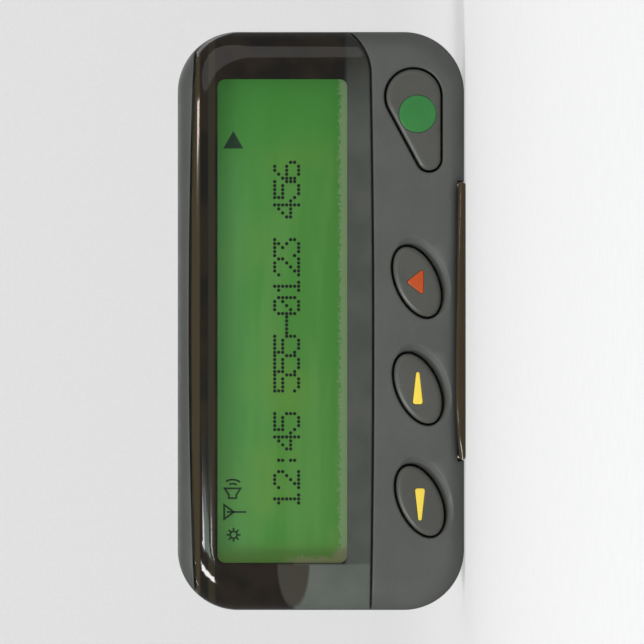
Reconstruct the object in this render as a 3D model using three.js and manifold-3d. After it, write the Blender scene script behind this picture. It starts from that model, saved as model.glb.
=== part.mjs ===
// A belt-worn message pager standing in its belt holder.
// Millimetres, +Z up, the face looks towards -Y and +X is the reader's right.
import * as THREE from "three";
import { mergeVertices } from "three/addons/utils/BufferGeometryUtils.js";
import Module from "manifold-3d";

const wasm = await Module();
wasm.setup();

// ---------------------------------------------------------------- driving dimensions
// The pager's own frame: x = 0 at mid width, z = 0 at its lowest edge.
const WIDTH = 86; // along X
const HEIGHT = 42.6; // along Z
const FRONT = -9.3; // y of the flat of the face
const BACK = 10.7; // y of the flat of the back
const CORNER = 9; // corner radius seen from the front
const EDGE = 4.8; // how far the face's rounding reaches in from the outline
const EDGE_DEPTH = 4.6; // how far that rounding reaches back
const BACK_EDGE = 2.5; // rounding round the back
const LOW_SHARE = 0.5; // the rounding along the lower edge is this much of the others
const PARTING = 1.5; // y where the two housings meet
const SEAM = 0.3; // open line between two covers
const WALL = 1.4;
const FLOOR = 1.9; // the lower wall is thicker
const CAVITY_FRONT = -6.5; // inner side of the face's wall
const CAVITY_BACK = BACK - WALL;
const FRONT_ROOM = { x: 40.4, top: 40.2, back: -4.5 }; // the narrower front of the cavity

// Display window
const WINDOW_TOP = 39.9; // its upper seam at both ends
const WINDOW_BOW = 0.95; // that seam stands this much higher at mid width
const WINDOW_LOW = 13.8; // its lower seam near both ends
const WINDOW_SAG = 0.4; // that seam drops this much at mid width
const WINDOW_SWEEP = { x: 37, rise: 4.4 }; // right of x the seam sweeps up by this much
const RECESS_FLOOR = -7.7; // the window sits in a recess this deep
const WRAP = { back: -5.6, thick: 1.2, rootBack: -6.9, root: 2.2 }; // it wraps round both ends

// Display stack
const LCD_Z = 27; // middle of the display
const VIEW_HALF = 35.8; // half width of what is seen of the display
const VIEW_HALF_HEIGHT = 9.6;

const GLASS = { half: 36.9, z0: 14.9, z1: 38, front: -6.3, back: -4.1 };

// Keys: three leaning ovals and a teardrop
const OVAL_KEYS = [
  { name: "left", x: -26.6, z: 6.65 },
  { name: "right", x: -10, z: 6.95 },
  { name: "select", x: 5.8, z: 7.09 },
];
const KEY_LONG = 5.48; // half length of the hole
const KEY_TALL = 3.84; // half height of the hole
const KEY_LEAN = (23.6 * Math.PI) / 180; // the oval leans up to the right
const KEY_GAP = 0.32;
const KEY_PROUD = 0.45;
const TEAR_TIP = { x: 23.95, z: 5.3, r: 2.0 };
const TEAR_END = { x: 33.2, z: 7.62, r: 4.32 };
const DOT = { x: 30.6, z: 7, r: 2.8 }; // the mark on the teardrop key
const SCOOP = { depth: 0.45, bowl: 2.0, wide: 11.2, tall: 7.8, right: 1.2, down: 1.2 };

// Battery, a standard AAA cell lying along X behind the display
const CELL_LENGTH = 44.5;
const CELL_RADIUS = 5.25;
const CELL_X = 14.9;
const CELL_Y = 4.1;
const CELL_Z = 32.7;
const BAY = { x0: -10.6, x1: 40.4, z0: 26.9, z1: 38.5, front: -1.4 };
const TUB_WALL = 1.0;
const DOOR = { x0: -12.6, z0: 25.6, z1: 39.4, front: 9.6 };
const DOOR_GAP = 0.15;
const TONGUE = { reach: 0.8, front: 9.6, back: 10.05 }; // the door's edges run in a groove
const GRIP = { x0: 27, count: 5, pitch: 2, width: 0.9, depth: 0.35, z0: 28.4, z1: 36.6 };

// Circuit board
const BOARD_FRONT = -2.8;
const BOARD_BACK = -1.8;
const SEAT = BOARD_BACK + 0.03; // what stands on the board's back starts here

// Sound slots, buzzer and vibration motor
const SOUND = { x: -31.5, z: 13, slots: 4, pitch: 2.2, half: 4.2, width: 0.9 };
const MOTOR = { x0: -28.6, x1: -17, y: 3.6, z: 32.4, r: 3.0 };
const WEIGHT = { x0: -34.2, x1: -29.8, r: 3.1, hub: 1.2, shaft: 0.5 };

// Belt holder
const TRAY = 0.85;
const TRAY_DROP = 0.1; // the tray's underside is this far below the pager's lowest edge
const FOOT_RECESS = 1.05; // the pager's underside is cut away this deep over the tray
const HOLDER_HALF = 20.5;
const LIP = { front: -10.8, back: -9.6, crest: -11, top: 1.4, end: 0.5 }; // tallest at x = crest
const PLATE = { front: 11.1, back: 12.7, top: 38 };
const RIB = { half: 3.7, z0: 6, z1: 20, front: 10.2 };

// Belt clip
const PIVOT = { y: 15.9, z: 31, pin: 1.0, barrel: 2.6 };
const EAR = { x0: 8.3, x1: 10.3, r: 3.0 };
const CLIP = { half: 10, inner: 17.4, outer: 19, low: 3, top: 41.2 };
const BELT_PAD = { half: 8, z0: 8.5, z1: 26.5, rise: 0.25 };
const SPRING_ROOM = 3.4; // half width of the slot that the spring sits in
const SPRING_WIRE = 0.3;

// Screws: x, z of each axis
const SCREWS = [
  [-38.2, 7.4],
  [16.6, 5.9],
  [-40.5, 21.5],
  [40.5, 21.5],
];
const BOSS = { radius: 1.75, hole: 0.95, headRadius: 1.65, headDepth: 1.2 };

// The whole assembly is moved so that its box is centred over the origin and stands on z = 0.
const CLIP_PAD_BACK = 20.8;
const SHIFT_Y = -(LIP.front + CLIP_PAD_BACK) / 2;
const SHIFT_Z = TRAY_DROP;

// ---------------------------------------------------------------- materials
const plastic = (color, roughness) =>
  new THREE.MeshStandardMaterial({ color, roughness, metalness: 0 });
const metal = (color, roughness) =>
  new THREE.MeshStandardMaterial({ color, roughness, metalness: 1 });
const materials = {
  housing: plastic(0x5b5d59, 0.55),
  key: plastic(0x565752, 0.45),
  window: new THREE.MeshStandardMaterial({
    color: 0x2a2622,
    roughness: 0.05,
    metalness: 0,
    transparent: true,
    opacity: 0.35,
  }),
  holder: plastic(0x17140f, 0.18),
  clip: plastic(0x1d1d1c, 0.5),
  green: plastic(0x3f8a45, 0.35),
  red: plastic(0xd0552a, 0.35),
  yellow: plastic(0xf4d64e, 0.35),
  display: plastic(0x4c813c, 0.4),
  backlight: plastic(0xb9d6a0, 0.5),
  frame: plastic(0x20211f, 0.6),
  gasket: plastic(0x111111, 0.9),
  rubber: plastic(0x6d6f70, 0.8),
  board: plastic(0x1f5a34, 0.5),
  chip: plastic(0x141414, 0.5),
  steel: metal(0xb8bcc0, 0.3),
  brass: metal(0xc9a45c, 0.35),
  cell: plastic(0x2f3436, 0.35),
  buzzer: plastic(0x101010, 0.4),
};

// ---------------------------------------------------------------- solids
// A closed geometry as a solid that can be joined and cut.
function solid(geometry) {
  const bare = geometry.index ? geometry.toNonIndexed() : geometry.clone();
  bare.deleteAttribute("normal");
  bare.deleteAttribute("uv");
  const merged = mergeVertices(bare, 1e-4);
  return new wasm.Manifold(
    new wasm.Mesh({
      numProp: 3,
      vertProperties: merged.attributes.position.array,
      triVerts: new Uint32Array(merged.index.array),
    }),
  );
}

// A solid's surface as a geometry.
function geometryOf(body) {
  const { vertProperties, triVerts, numProp, numVert } = body.getMesh();
  const position = new Float32Array(numVert * 3);
  for (let i = 0; i < numVert; i++) {
    position.set(vertProperties.subarray(i * numProp, i * numProp + 3), i * 3);
  }
  const geometry = new THREE.BufferGeometry();
  geometry.setAttribute("position", new THREE.BufferAttribute(position, 3));
  geometry.setIndex(new THREE.BufferAttribute(triVerts, 1));
  geometry.computeVertexNormals();
  return geometry;
}

// A box between two corners.
function block(x0, x1, y0, y1, z0, z1) {
  const box = new THREE.BoxGeometry(x1 - x0, y1 - y0, z1 - z0);
  return solid(box.translate((x0 + x1) / 2, (y0 + y1) / 2, (z0 + z1) / 2));
}

// A shape drawn in x and z, carried along Y from yFront to yBack.
function prism(shape, yFront, yBack, curveSegments = 5) {
  const made = new THREE.ExtrudeGeometry(shape, {
    depth: yBack - yFront,
    bevelEnabled: false,
    curveSegments,
  });
  return solid(made.rotateX(Math.PI / 2).translate(0, yBack, 0));
}

// A profile drawn in y and z, carried along X from x0 to x1.
function bar(profile, x0, x1, curveSegments = 5) {
  const made = new THREE.ExtrudeGeometry(profile, {
    depth: x1 - x0,
    bevelEnabled: false,
    curveSegments,
  });
  made.rotateY(Math.PI / 2).rotateX(Math.PI / 2);
  return solid(made.translate(x0, 0, 0));
}

// A cylinder along Y.
function post(x, z, radius, yFront, yBack, sides = 16) {
  const made = new THREE.CylinderGeometry(radius, radius, yBack - yFront, sides);
  return solid(made.translate(x, (yFront + yBack) / 2, z));
}

// A cylinder along X.
function rod(y, z, radius, x0, x1, sides = 20) {
  const made = new THREE.CylinderGeometry(radius, radius, x1 - x0, sides);
  return solid(made.rotateZ(Math.PI / 2).translate((x0 + x1) / 2, y, z));
}

const join = (...bodies) => bodies.reduce((sum, body) => sum.add(body));
const cut = (body, ...tools) => tools.reduce((left, tool) => left.subtract(tool), body);

// ---------------------------------------------------------------- outlines
function roundedRectangle(x0, x1, z0, z1, radius) {
  const shape = new THREE.Shape();
  shape.absarc(x1 - radius, z1 - radius, radius, 0, Math.PI / 2);
  shape.absarc(x0 + radius, z1 - radius, radius, Math.PI / 2, Math.PI);
  shape.absarc(x0 + radius, z0 + radius, radius, Math.PI, 1.5 * Math.PI);
  shape.absarc(x1 - radius, z0 + radius, radius, 1.5 * Math.PI, 2 * Math.PI);
  return shape;
}

// The window's outline, with its two long edges moved in by inset. It runs off both ends.
function windowOutline(inset = 0) {
  const end = WIDTH / 2 + 1;
  const top = WINDOW_TOP - inset;
  const low = WINDOW_LOW + inset;
  const sweep = WINDOW_SWEEP;
  const shape = new THREE.Shape();
  shape.moveTo(end, top);
  shape.quadraticCurveTo(0, top + 2 * WINDOW_BOW, -end, top);
  shape.lineTo(-end, low);
  shape.quadraticCurveTo(-4, low - 2 * WINDOW_SAG, sweep.x, low);
  shape.quadraticCurveTo(sweep.x + 4, low + 0.3, end, low + sweep.rise);
  return shape;
}

// The pager's outline, moved in by inset.
function bodyOutline(inset) {
  return roundedRectangle(
    -WIDTH / 2 + inset,
    WIDTH / 2 - inset,
    inset,
    HEIGHT - inset,
    CORNER - inset,
  );
}

// The space that the window takes, less gap all round: a plate, and a lip that wraps round each
// end, thicker at its root.
function windowSpace(gap) {
  const outline = windowOutline(gap);
  const lip = (thick, y0, y1) =>
    prism(outline, y0, y1 - gap).subtract(prism(bodyOutline(thick - gap), -FAR, FAR));
  return join(
    prism(outline, FRONT - 1, RECESS_FLOOR - gap),
    lip(WRAP.root, RECESS_FLOOR - 1, WRAP.rootBack),
    lip(WRAP.thick, RECESS_FLOOR, WRAP.back),
  );
}

// A leaning oval about (0, 0), moved in by inset.
function ovalOutline(inset, steps = 22) {
  const points = [];
  for (let i = 0; i < steps; i++) {
    const t = (2 * Math.PI * i) / steps;
    points.push(
      new THREE.Vector2(
        (KEY_LONG - inset) * Math.cos(t),
        (KEY_TALL - inset) * Math.sin(t + KEY_LEAN),
      ),
    );
  }
  return new THREE.Shape(points);
}

// A teardrop with its tip to the left, moved in by inset: two circles and their common tangents.
function tearOutline(inset) {
  const tip = TEAR_TIP.r - inset;
  const end = TEAR_END.r - inset;
  const dx = TEAR_END.x - TEAR_TIP.x;
  const dz = TEAR_END.z - TEAR_TIP.z;
  const along = Math.atan2(dz, dx);
  const spread = Math.acos((TEAR_TIP.r - TEAR_END.r) / Math.hypot(dx, dz));
  const shape = new THREE.Shape();
  shape.absarc(TEAR_END.x, TEAR_END.z, end, along - spread, along + spread);
  shape.absarc(TEAR_TIP.x, TEAR_TIP.z, tip, along + spread, along - spread + 2 * Math.PI);
  return shape;
}

// ---------------------------------------------------------------- the pager's outer form
// One ring of a rounded rectangle at depth y.
function ring(inset, y) {
  const steps = 6;
  const x1 = WIDTH / 2 - inset;
  const z0 = LOW_SHARE * inset;
  const z1 = HEIGHT - inset;
  const r = CORNER - 0.6 * inset;
  const centres = [
    [x1 - r, z1 - r],
    [-x1 + r, z1 - r],
    [-x1 + r, z0 + r],
    [x1 - r, z0 + r],
  ];
  return centres.flatMap(([cx, cz], quarter) =>
    Array.from({ length: steps }, (_, i) => {
      const a = (quarter + i / (steps - 1)) * (Math.PI / 2);
      return new THREE.Vector3(cx + r * Math.cos(a), y, cz + r * Math.sin(a));
    }),
  );
}

// A closed skin over rings that run from front to back.
function loft(rings) {
  const count = rings[0].length;
  const points = rings.flat();
  const middle = (list) =>
    list.reduce((sum, p) => sum.add(p), new THREE.Vector3()).divideScalar(list.length);
  const frontCentre = points.push(middle(rings[0])) - 1;
  const backCentre = points.push(middle(rings[rings.length - 1])) - 1;
  const last = (rings.length - 1) * count;
  const faces = [];
  for (let i = 0; i < count; i++) {
    const j = (i + 1) % count;
    faces.push(frontCentre, i, j);
    faces.push(backCentre, last + j, last + i);
    for (let k = 0; k < last; k += count) {
      faces.push(k + i, k + count + j, k + j);
      faces.push(k + i, k + count + i, k + count + j);
    }
  }
  const geometry = new THREE.BufferGeometry().setFromPoints(points);
  geometry.setIndex(faces);
  return solid(geometry);
}

function outerForm() {
  const rings = [];
  const frontSteps = 4;
  for (let i = 0; i <= frontSteps; i++) {
    const a = (Math.PI / 2) * (1 - i / frontSteps);
    rings.push(ring(EDGE * (1 - Math.cos(a)), FRONT + EDGE_DEPTH * (1 - Math.sin(a))));
  }
  const backSteps = 3;
  for (let i = 0; i <= backSteps; i++) {
    const a = (Math.PI / 2) * (i / backSteps);
    rings.push(ring(BACK_EDGE * (1 - Math.cos(a)), BACK - BACK_EDGE * (1 - Math.sin(a))));
  }
  return loft(rings);
}

const FORM = outerForm();
const FAR = 60; // past every face of the pager

// The room inside, narrower near the face, where the walls carry the window's wrapped ends.
function cavity() {
  const { x, top, back } = FRONT_ROOM;
  const front = roundedRectangle(-x, x, FLOOR, top, 6);
  const both = join(
    prism(front, CAVITY_FRONT, back + 0.1),
    prism(bodyOutline(WALL), back, CAVITY_BACK),
  );
  return both.intersect(block(-FAR, FAR, -FAR, FAR, FLOOR, FAR));
}

// Where the holder's tray lies, under the pager.
const footRecess = () =>
  block(-HOLDER_HALF - SEAM, HOLDER_HALF + SEAM, -FAR, FAR, -FAR, FOOT_RECESS);

// ---------------------------------------------------------------- casings
function keyHoles() {
  const ovals = OVAL_KEYS.map(({ x, z }) =>
    prism(ovalOutline(0), FRONT - 1, CAVITY_FRONT + 1).translate([x, 0, z]),
  );
  return join(...ovals, prism(tearOutline(0), FRONT - 1, CAVITY_FRONT + 1));
}

// Shallow finger scoops, low and to the right of each oval key.
function fingerScoops() {
  const { depth, bowl, wide, tall, right, down } = SCOOP;
  const scoops = OVAL_KEYS.map(({ x, z }) => {
    const ball = new THREE.SphereGeometry(1, 20, 14).scale(wide, bowl, tall);
    return solid(ball.translate(x + right, FRONT - bowl + depth, z - down));
  });
  return join(...scoops);
}

function frontHousing() {
  const shell = FORM.intersect(block(-FAR, FAR, -FAR, PARTING - SEAM / 2, -FAR, FAR));
  const aperture = roundedRectangle(
    -VIEW_HALF - 0.8,
    VIEW_HALF + 0.8,
    LCD_Z - VIEW_HALF_HEIGHT - 0.8,
    LCD_Z + VIEW_HALF_HEIGHT + 0.8,
    1,
  );
  const bossBack = BOARD_FRONT - 0.05;
  const bosses = SCREWS.map(([x, z]) =>
    post(x, z, BOSS.radius, CAVITY_FRONT - 0.5, bossBack, 14),
  );
  const bores = SCREWS.map(([x, z]) =>
    post(x, z, BOSS.hole, CAVITY_FRONT + 0.3, bossBack + 1, 12),
  );
  return cut(
    join(cut(shell, cavity()), ...bosses),
    windowSpace(0),
    prism(aperture, RECESS_FLOOR - 1, CAVITY_FRONT + 0.1, 3),
    keyHoles(),
    fingerScoops(),
    footRecess(),
    ...bores,
  );
}

// The door's outline on the back, moved out by grow; it runs off the right-hand end.
function doorSlab(grow, y0, y1) {
  return block(
    DOOR.x0 - grow,
    FAR,
    y0,
    y1,
    DOOR.z0 - grow,
    DOOR.z1 + grow,
  );
}

function rearHousing() {
  const shell = cut(
    FORM.intersect(block(-FAR, FAR, PARTING + SEAM / 2, FAR, -FAR, FAR)),
    cavity(),
  );
  const reach = join(
    prism(bodyOutline(WALL + SEAM), -FAR, PARTING + SEAM, 4),
    block(-FAR, FAR, PARTING + SEAM / 2, FAR, -FAR, FAR),
  );
  const tub = block(
    BAY.x0 - TUB_WALL,
    BAY.x1 + TUB_WALL,
    BAY.front,
    DOOR.front - DOOR_GAP,
    BAY.z0 - TUB_WALL,
    BAY.z1 + TUB_WALL,
  );
  const trough = block(BAY.x0, BAY.x1, BAY.front - 1, FAR, BAY.z0, BAY.z1);
  const bosses = SCREWS.map(([x, z]) =>
    post(x, z, BOSS.radius, BOARD_BACK + 0.05, CAVITY_BACK + 0.5, 14),
  );
  const bores = SCREWS.map(([x, z]) => post(x, z, BOSS.hole, BOARD_BACK - 1, FAR, 12));
  const heads = SCREWS.map(([x, z]) =>
    post(x, z, BOSS.headRadius, BACK - BOSS.headDepth, FAR, 16),
  );
  const slots = Array.from({ length: SOUND.slots }, (_, i) => {
    const z = SOUND.z + (i - (SOUND.slots - 1) / 2) * SOUND.pitch;
    const w = SOUND.width / 2;
    return prism(
      roundedRectangle(SOUND.x - SOUND.half, SOUND.x + SOUND.half, z - w, z + w, w - 0.01),
      CAVITY_BACK - 1,
      FAR,
      4,
    );
  });
  const groove = RIB.half + 0.3;
  return cut(
    join(shell, join(tub, ...bosses).intersect(FORM).intersect(reach)),
    trough,
    doorSlab(DOOR_GAP, DOOR.front - DOOR_GAP, FAR),
    doorSlab(DOOR_GAP + TONGUE.reach, TONGUE.front - DOOR_GAP, TONGUE.back + DOOR_GAP),
    block(-groove, groove, RIB.front - 0.3, FAR, -FAR, RIB.z1 + 0.3),
    footRecess(),
    ...slots,
    ...bores,
    ...heads,
  );
}

function batteryDoor() {
  const trimmed = FORM.intersect(
    join(
      doorSlab(0, DOOR.front, FAR),
      doorSlab(TONGUE.reach, TONGUE.front, TONGUE.back).intersect(
        block(DOOR.x0, FAR, -FAR, FAR, -FAR, FAR),
      ),
    ),
  );
  // Grip ribs near the right-hand end, cut as shallow grooves.
  const grooves = Array.from({ length: GRIP.count }, (_, i) => {
    const x = GRIP.x0 + i * GRIP.pitch;
    return block(x, x + GRIP.width, BACK - GRIP.depth, FAR, GRIP.z0, GRIP.z1);
  });
  return cut(trimmed, ...grooves);
}

const windowLens = () => FORM.intersect(windowSpace(SEAM));

function windowGasket() {
  const hole = roundedRectangle(
    -VIEW_HALF - 0.4,
    VIEW_HALF + 0.4,
    LCD_Z - VIEW_HALF_HEIGHT - 0.4,
    LCD_Z + VIEW_HALF_HEIGHT + 0.4,
    0.8,
  );
  const sheet = prism(windowOutline(SEAM + 0.5), RECESS_FLOOR - 0.18, RECESS_FLOOR - 0.02, 3);
  return cut(
    sheet.intersect(prism(bodyOutline(WRAP.root + 0.1), -FAR, FAR)),
    prism(hole, RECESS_FLOOR - 1, RECESS_FLOOR + 1, 3),
  );
}

// ---------------------------------------------------------------- display
function lcdPanel() {
  return block(-GLASS.half, GLASS.half, GLASS.front, GLASS.back, GLASS.z0, GLASS.z1);
}

function lcdFrame() {
  return cut(
    block(-37.7, 37.7, GLASS.front, -2.9, GLASS.z0 - 0.9, GLASS.z1 + 0.9),
    block(-37.05, 37.05, -FAR, FAR, GLASS.z0 - 0.15, GLASS.z1 + 0.15),
  );
}

const backlight = () => block(-36.4, 36.4, -4, -3, 17, 36.8);
const zebraStrip = () => block(-36, 36, -4.05, BOARD_FRONT - 0.02, 0, 1);

// ---------------------------------------------------------------- keys
// A key's cap with a chamfered rim, its flange behind the wall and the nub that presses.
function keySolid(outline, markShape, centre) {
  const rise = FRONT - KEY_PROUD;
  const cap = join(
    prism(outline(KEY_GAP), FRONT + 0.05, CAVITY_FRONT + 0.3),
    prism(outline(KEY_GAP + 0.25), rise + 0.18, FRONT + 0.2),
    prism(outline(KEY_GAP + 0.6), rise, FRONT),
  );
  const flange = prism(outline(-0.7), CAVITY_FRONT + 0.12, CAVITY_FRONT + 0.8);
  const nub = post(centre[0], centre[1], 1.3, CAVITY_FRONT + 0.6, CAVITY_FRONT + 1.4, 14);
  const pocket = prism(markShape(0.05), rise - 1, rise + 0.3, 6);
  return cut(join(cap, flange, nub), pocket);
}

// A wedge along X, wide at one end: the arrow of a scroll key. grow moves its outline out.
function wedgeShape(direction) {
  return (grow) => {
    const wide = 0.78 + grow;
    const narrow = 0.33 + grow;
    const wideX = -2.45 - grow;
    const narrowX = 2.45 + grow;
    const shape = new THREE.Shape();
    const corners = [
      [wideX, -wide + 0.35],
      [wideX + 0.3, -wide],
      [narrowX - 0.2, -narrow],
      [narrowX, 0],
      [narrowX - 0.2, narrow],
      [wideX + 0.3, wide],
      [wideX, wide - 0.35],
    ];
    const points = corners.map(([x, z]) => new THREE.Vector2(direction * x, direction * z));
    return shape.setFromPoints(points);
  };
}

// An upward triangle with clipped corners.
function triangleShape(grow) {
  const half = 1.85 + grow;
  const low = -1.1 - grow;
  const high = 1.75 + grow;
  return new THREE.Shape(
    [
      [-half + 0.35, low],
      [half - 0.35, low],
      [half, low + 0.4],
      [0.3, high],
      [-0.3, high],
      [-half, low + 0.4],
    ].map(([x, z]) => new THREE.Vector2(x, z)),
  );
}

function dotShape(grow) {
  return new THREE.Shape().absarc(DOT.x, DOT.z, DOT.r + grow, 0, 2 * Math.PI);
}

const markInlay = (shape) =>
  prism(shape(0), FRONT - KEY_PROUD + 0.02, FRONT - KEY_PROUD + 0.28, 6);

// Silicone sheet with one raised dome under each key.
const KEY_CENTRES = [...OVAL_KEYS.map(({ x, z }) => [x, z]), [DOT.x, DOT.z]];
function keypadMembrane() {
  const sheet = prism(roundedRectangle(-34, 39.4, 2.4, 12.2, 2.4), -3.95, -3.5, 4);
  const domes = KEY_CENTRES.map(([x, z]) => {
    const dome = new THREE.CylinderGeometry(1.5, 2.3, 0.65, 12);
    return solid(dome.rotateX(Math.PI).translate(x, -4.2, z));
  });
  const bores = SCREWS.map(([x, z]) => post(x, z, BOSS.radius + 0.4, -FAR, FAR, 12));
  return cut(join(sheet, ...domes), ...bores);
}

function snapDome() {
  const profile = [
    [0, -0.45],
    [1.1, -0.35],
    [1.9, 0],
    [1.7, 0],
    [1.0, -0.25],
    [0, -0.32],
  ].map(([r, y]) => new THREE.Vector2(r, -y));
  return solid(new THREE.LatheGeometry(profile.reverse(), 12).rotateX(Math.PI));
}

// ---------------------------------------------------------------- board and what is on it
function mainBoard() {
  const outline = roundedRectangle(-41, 41, 2.2, 40.4, 7);
  const bores = SCREWS.map(([x, z]) => post(x, z, BOSS.hole + 0.1, -FAR, FAR, 12));
  return cut(prism(outline, BOARD_FRONT, BOARD_BACK, 5), ...bores);
}

// A part standing on the back of the board.
function onBoard(x0, x1, z0, z1, height) {
  return block(x0, x1, SEAT, SEAT + height, z0, z1);
}

function loopAntenna() {
  const loop = cut(
    prism(roundedRectangle(-19, 13.5, 13.4, 24.4, 1.6), SEAT + 1.2, SEAT + 6, 4),
    prism(roundedRectangle(-18.2, 12.7, 14.2, 23.6, 0.9), -FAR, FAR, 4),
    block(-4.4, -1.6, -FAR, FAR, 13, 15),
  );
  const feet = [-6.4, -0.6].map((x) => block(x - 0.8, x + 0.8, SEAT, SEAT + 2, 13.4, 14.2));
  return join(loop, ...feet);
}

function rfShield() {
  const can = cut(
    onBoard(19.5, 37.5, 9.5, 20.5, 3.4),
    block(20, 37, -FAR, SEAT + 3, 10, 20),
  );
  const vents = [0, 1, 2].map((i) => post(24 + i * 4.5, 15, 0.8, -FAR, FAR, 10));
  return cut(can, ...vents);
}

function crystalCan() {
  return prism(roundedRectangle(-3.2, 3.2, 6.1, 9.3, 1.55), SEAT, SEAT + 3, 5);
}

// ---------------------------------------------------------------- sound and vibration
function buzzer() {
  const body = post(SOUND.x, SOUND.z, 5.2, 5.2, CAVITY_BACK - 0.3, 28);
  return cut(body, post(SOUND.x, SOUND.z, 1.0, 8, FAR, 12));
}

const motorCan = () => rod(MOTOR.y, MOTOR.z, MOTOR.r, MOTOR.x0, MOTOR.x1, 24);

function motorBracket() {
  const outer = block(-27, -19, SEAT, MOTOR.y, MOTOR.z - 3.7, MOTOR.z + 3.7);
  return cut(outer, rod(MOTOR.y, MOTOR.z, MOTOR.r + 0.1, -FAR, FAR, 24));
}

// Shaft and off-centre weight, which turn together.
function motorWeight() {
  const along = (radius, x0, x1, sides) => rod(MOTOR.y, MOTOR.z, radius, x0, x1, sides);
  const shaft = along(WEIGHT.shaft, WEIGHT.x0 - 0.4, MOTOR.x0 - 0.2, 10);
  const hub = along(WEIGHT.hub, WEIGHT.x0, WEIGHT.x1, 14);
  const lower = block(-FAR, FAR, -FAR, FAR, -FAR, MOTOR.z - 0.6);
  return join(shaft, hub, along(WEIGHT.r, WEIGHT.x0, WEIGHT.x1, 24).intersect(lower));
}

// ---------------------------------------------------------------- battery
function batteryCell() {
  const half = CELL_LENGTH / 2;
  return join(
    rod(CELL_Y, CELL_Z, CELL_RADIUS, CELL_X - half, CELL_X + half - 1, 32),
    rod(CELL_Y, CELL_Z, 1.9, CELL_X - half, CELL_X + half, 16),
  );
}

// A conical coil that presses on the cell's flat end, seen along X.
class Coil extends THREE.Curve {
  constructor(x0, x1, r0, r1, turns) {
    super();
    Object.assign(this, { x0, x1, r0, r1, turns });
  }
  getPoint(t) {
    const a = 2 * Math.PI * this.turns * t;
    const r = this.r0 + (this.r1 - this.r0) * t;
    return new THREE.Vector3(
      this.x0 + (this.x1 - this.x0) * t,
      r * Math.cos(a),
      r * Math.sin(a),
    );
  }
}

function coil(curve, wire, steps) {
  const section = new THREE.Shape().absarc(0, 0, wire, 0, 2 * Math.PI);
  const made = new THREE.ExtrudeGeometry(section, {
    steps,
    curveSegments: 3,
    bevelEnabled: false,
    extrudePath: curve,
  });
  return solid(made);
}

function batterySpring() {
  const cellEnd = CELL_X - CELL_LENGTH / 2;
  const wound = coil(new Coil(BAY.x0 + 0.85, cellEnd - 0.35, 3.6, 1.6, 3), 0.28, 33);
  const seat = block(BAY.x0 + 0.05, BAY.x0 + 0.45, -4.2, 4.2, -4.6, 4.6);
  const stem = block(BAY.x0 + 0.3, BAY.x0 + 1.0, 3.35, 3.85, -0.4, 0.4);
  return join(seat, stem, wound).translate([0, CELL_Y, CELL_Z]);
}

function batteryContact() {
  const wall = BAY.x1 - 0.05;
  return join(
    block(wall - 0.4, wall, -4.2, 4.2, -4.6, 4.6),
    block(CELL_X + CELL_LENGTH / 2 + 0.1, wall - 0.2, -1.4, 1.4, -1.4, 1.4),
  ).translate([0, CELL_Y, CELL_Z]);
}

function screw() {
  return cut(
    join(
      post(0, 0, 1.5, BACK - BOSS.headDepth + 0.03, BACK - 0.25, 14),
      post(0, 0, 0.8, CAVITY_FRONT + 0.6, BACK - BOSS.headDepth + 0.5, 10),
    ),
    block(-1, 1, BACK - 0.7, BACK, -0.2, 0.2),
    block(-0.2, 0.2, BACK - 0.7, BACK, -1, 1),
  );
}

// ---------------------------------------------------------------- belt holder and clip
// The lip's upper edge climbs from its right-hand end to a crest and drops to the left-hand end.
function lipOutline(below) {
  const { crest, top, end } = LIP;
  const shape = new THREE.Shape();
  shape.moveTo(HOLDER_HALF, below);
  shape.lineTo(HOLDER_HALF, end - 0.3);
  shape.quadraticCurveTo(HOLDER_HALF, end, HOLDER_HALF - 1, end);
  shape.quadraticCurveTo(crest + 10, top, crest, top);
  shape.quadraticCurveTo(crest - 6, top, -HOLDER_HALF, 0);
  shape.lineTo(-HOLDER_HALF, below);
  return shape;
}

// The holder is one U-shaped bar, trimmed by its outlines seen from the back and from the front.
function holster() {
  const channel = new THREE.Shape(
    [
      [LIP.front, -SHIFT_Z],
      [PLATE.back, -SHIFT_Z],
      [PLATE.back, PLATE.top + 1],
      [PLATE.front, PLATE.top + 1],
      [PLATE.front, RIB.z1],
      [RIB.front, RIB.z1],
      [RIB.front, RIB.z0],
      [PLATE.front, RIB.z0],
      [PLATE.front, TRAY - TRAY_DROP],
      [LIP.back, TRAY - TRAY_DROP],
      [LIP.back, LIP.top + 1],
      [LIP.front, LIP.top + 1],
    ].map(([y, z]) => new THREE.Vector2(y, z)),
  );
  const below = -SHIFT_Z - 8;
  const backOutline = roundedRectangle(-HOLDER_HALF, HOLDER_HALF, below, PLATE.top, 6);
  const trim = join(prism(backOutline, -1, FAR), prism(lipOutline(below), -FAR, 0));
  const besideRib = [-1, 1].map((side) =>
    side > 0
      ? block(RIB.half, FAR, 0, PLATE.front, RIB.z0 - 1, RIB.z1 + 1)
      : block(-FAR, -RIB.half, 0, PLATE.front, RIB.z0 - 1, RIB.z1 + 1),
  );
  const earProfile = new THREE.Shape();
  earProfile.moveTo(PLATE.back - 0.3, PIVOT.z - EAR.r);
  earProfile.absarc(PIVOT.y, PIVOT.z, EAR.r, -Math.PI / 2, Math.PI / 2);
  earProfile.lineTo(PLATE.back - 0.3, PIVOT.z + EAR.r);
  const ears = [-EAR.x1, EAR.x0].map((x0) => bar(earProfile, x0, x0 + EAR.x1 - EAR.x0));
  const body = cut(bar(channel, -HOLDER_HALF - 1, HOLDER_HALF + 1).intersect(trim), ...besideRib);
  const { half, z0, z1, rise } = BELT_PAD;
  const pad = block(-half, half, PLATE.back - 0.5, PLATE.back + rise, z0, z1);
  return cut(join(body, pad, ...ears), rod(PIVOT.y, PIVOT.z, PIVOT.pin + 0.06, -FAR, FAR, 16));
}

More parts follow.
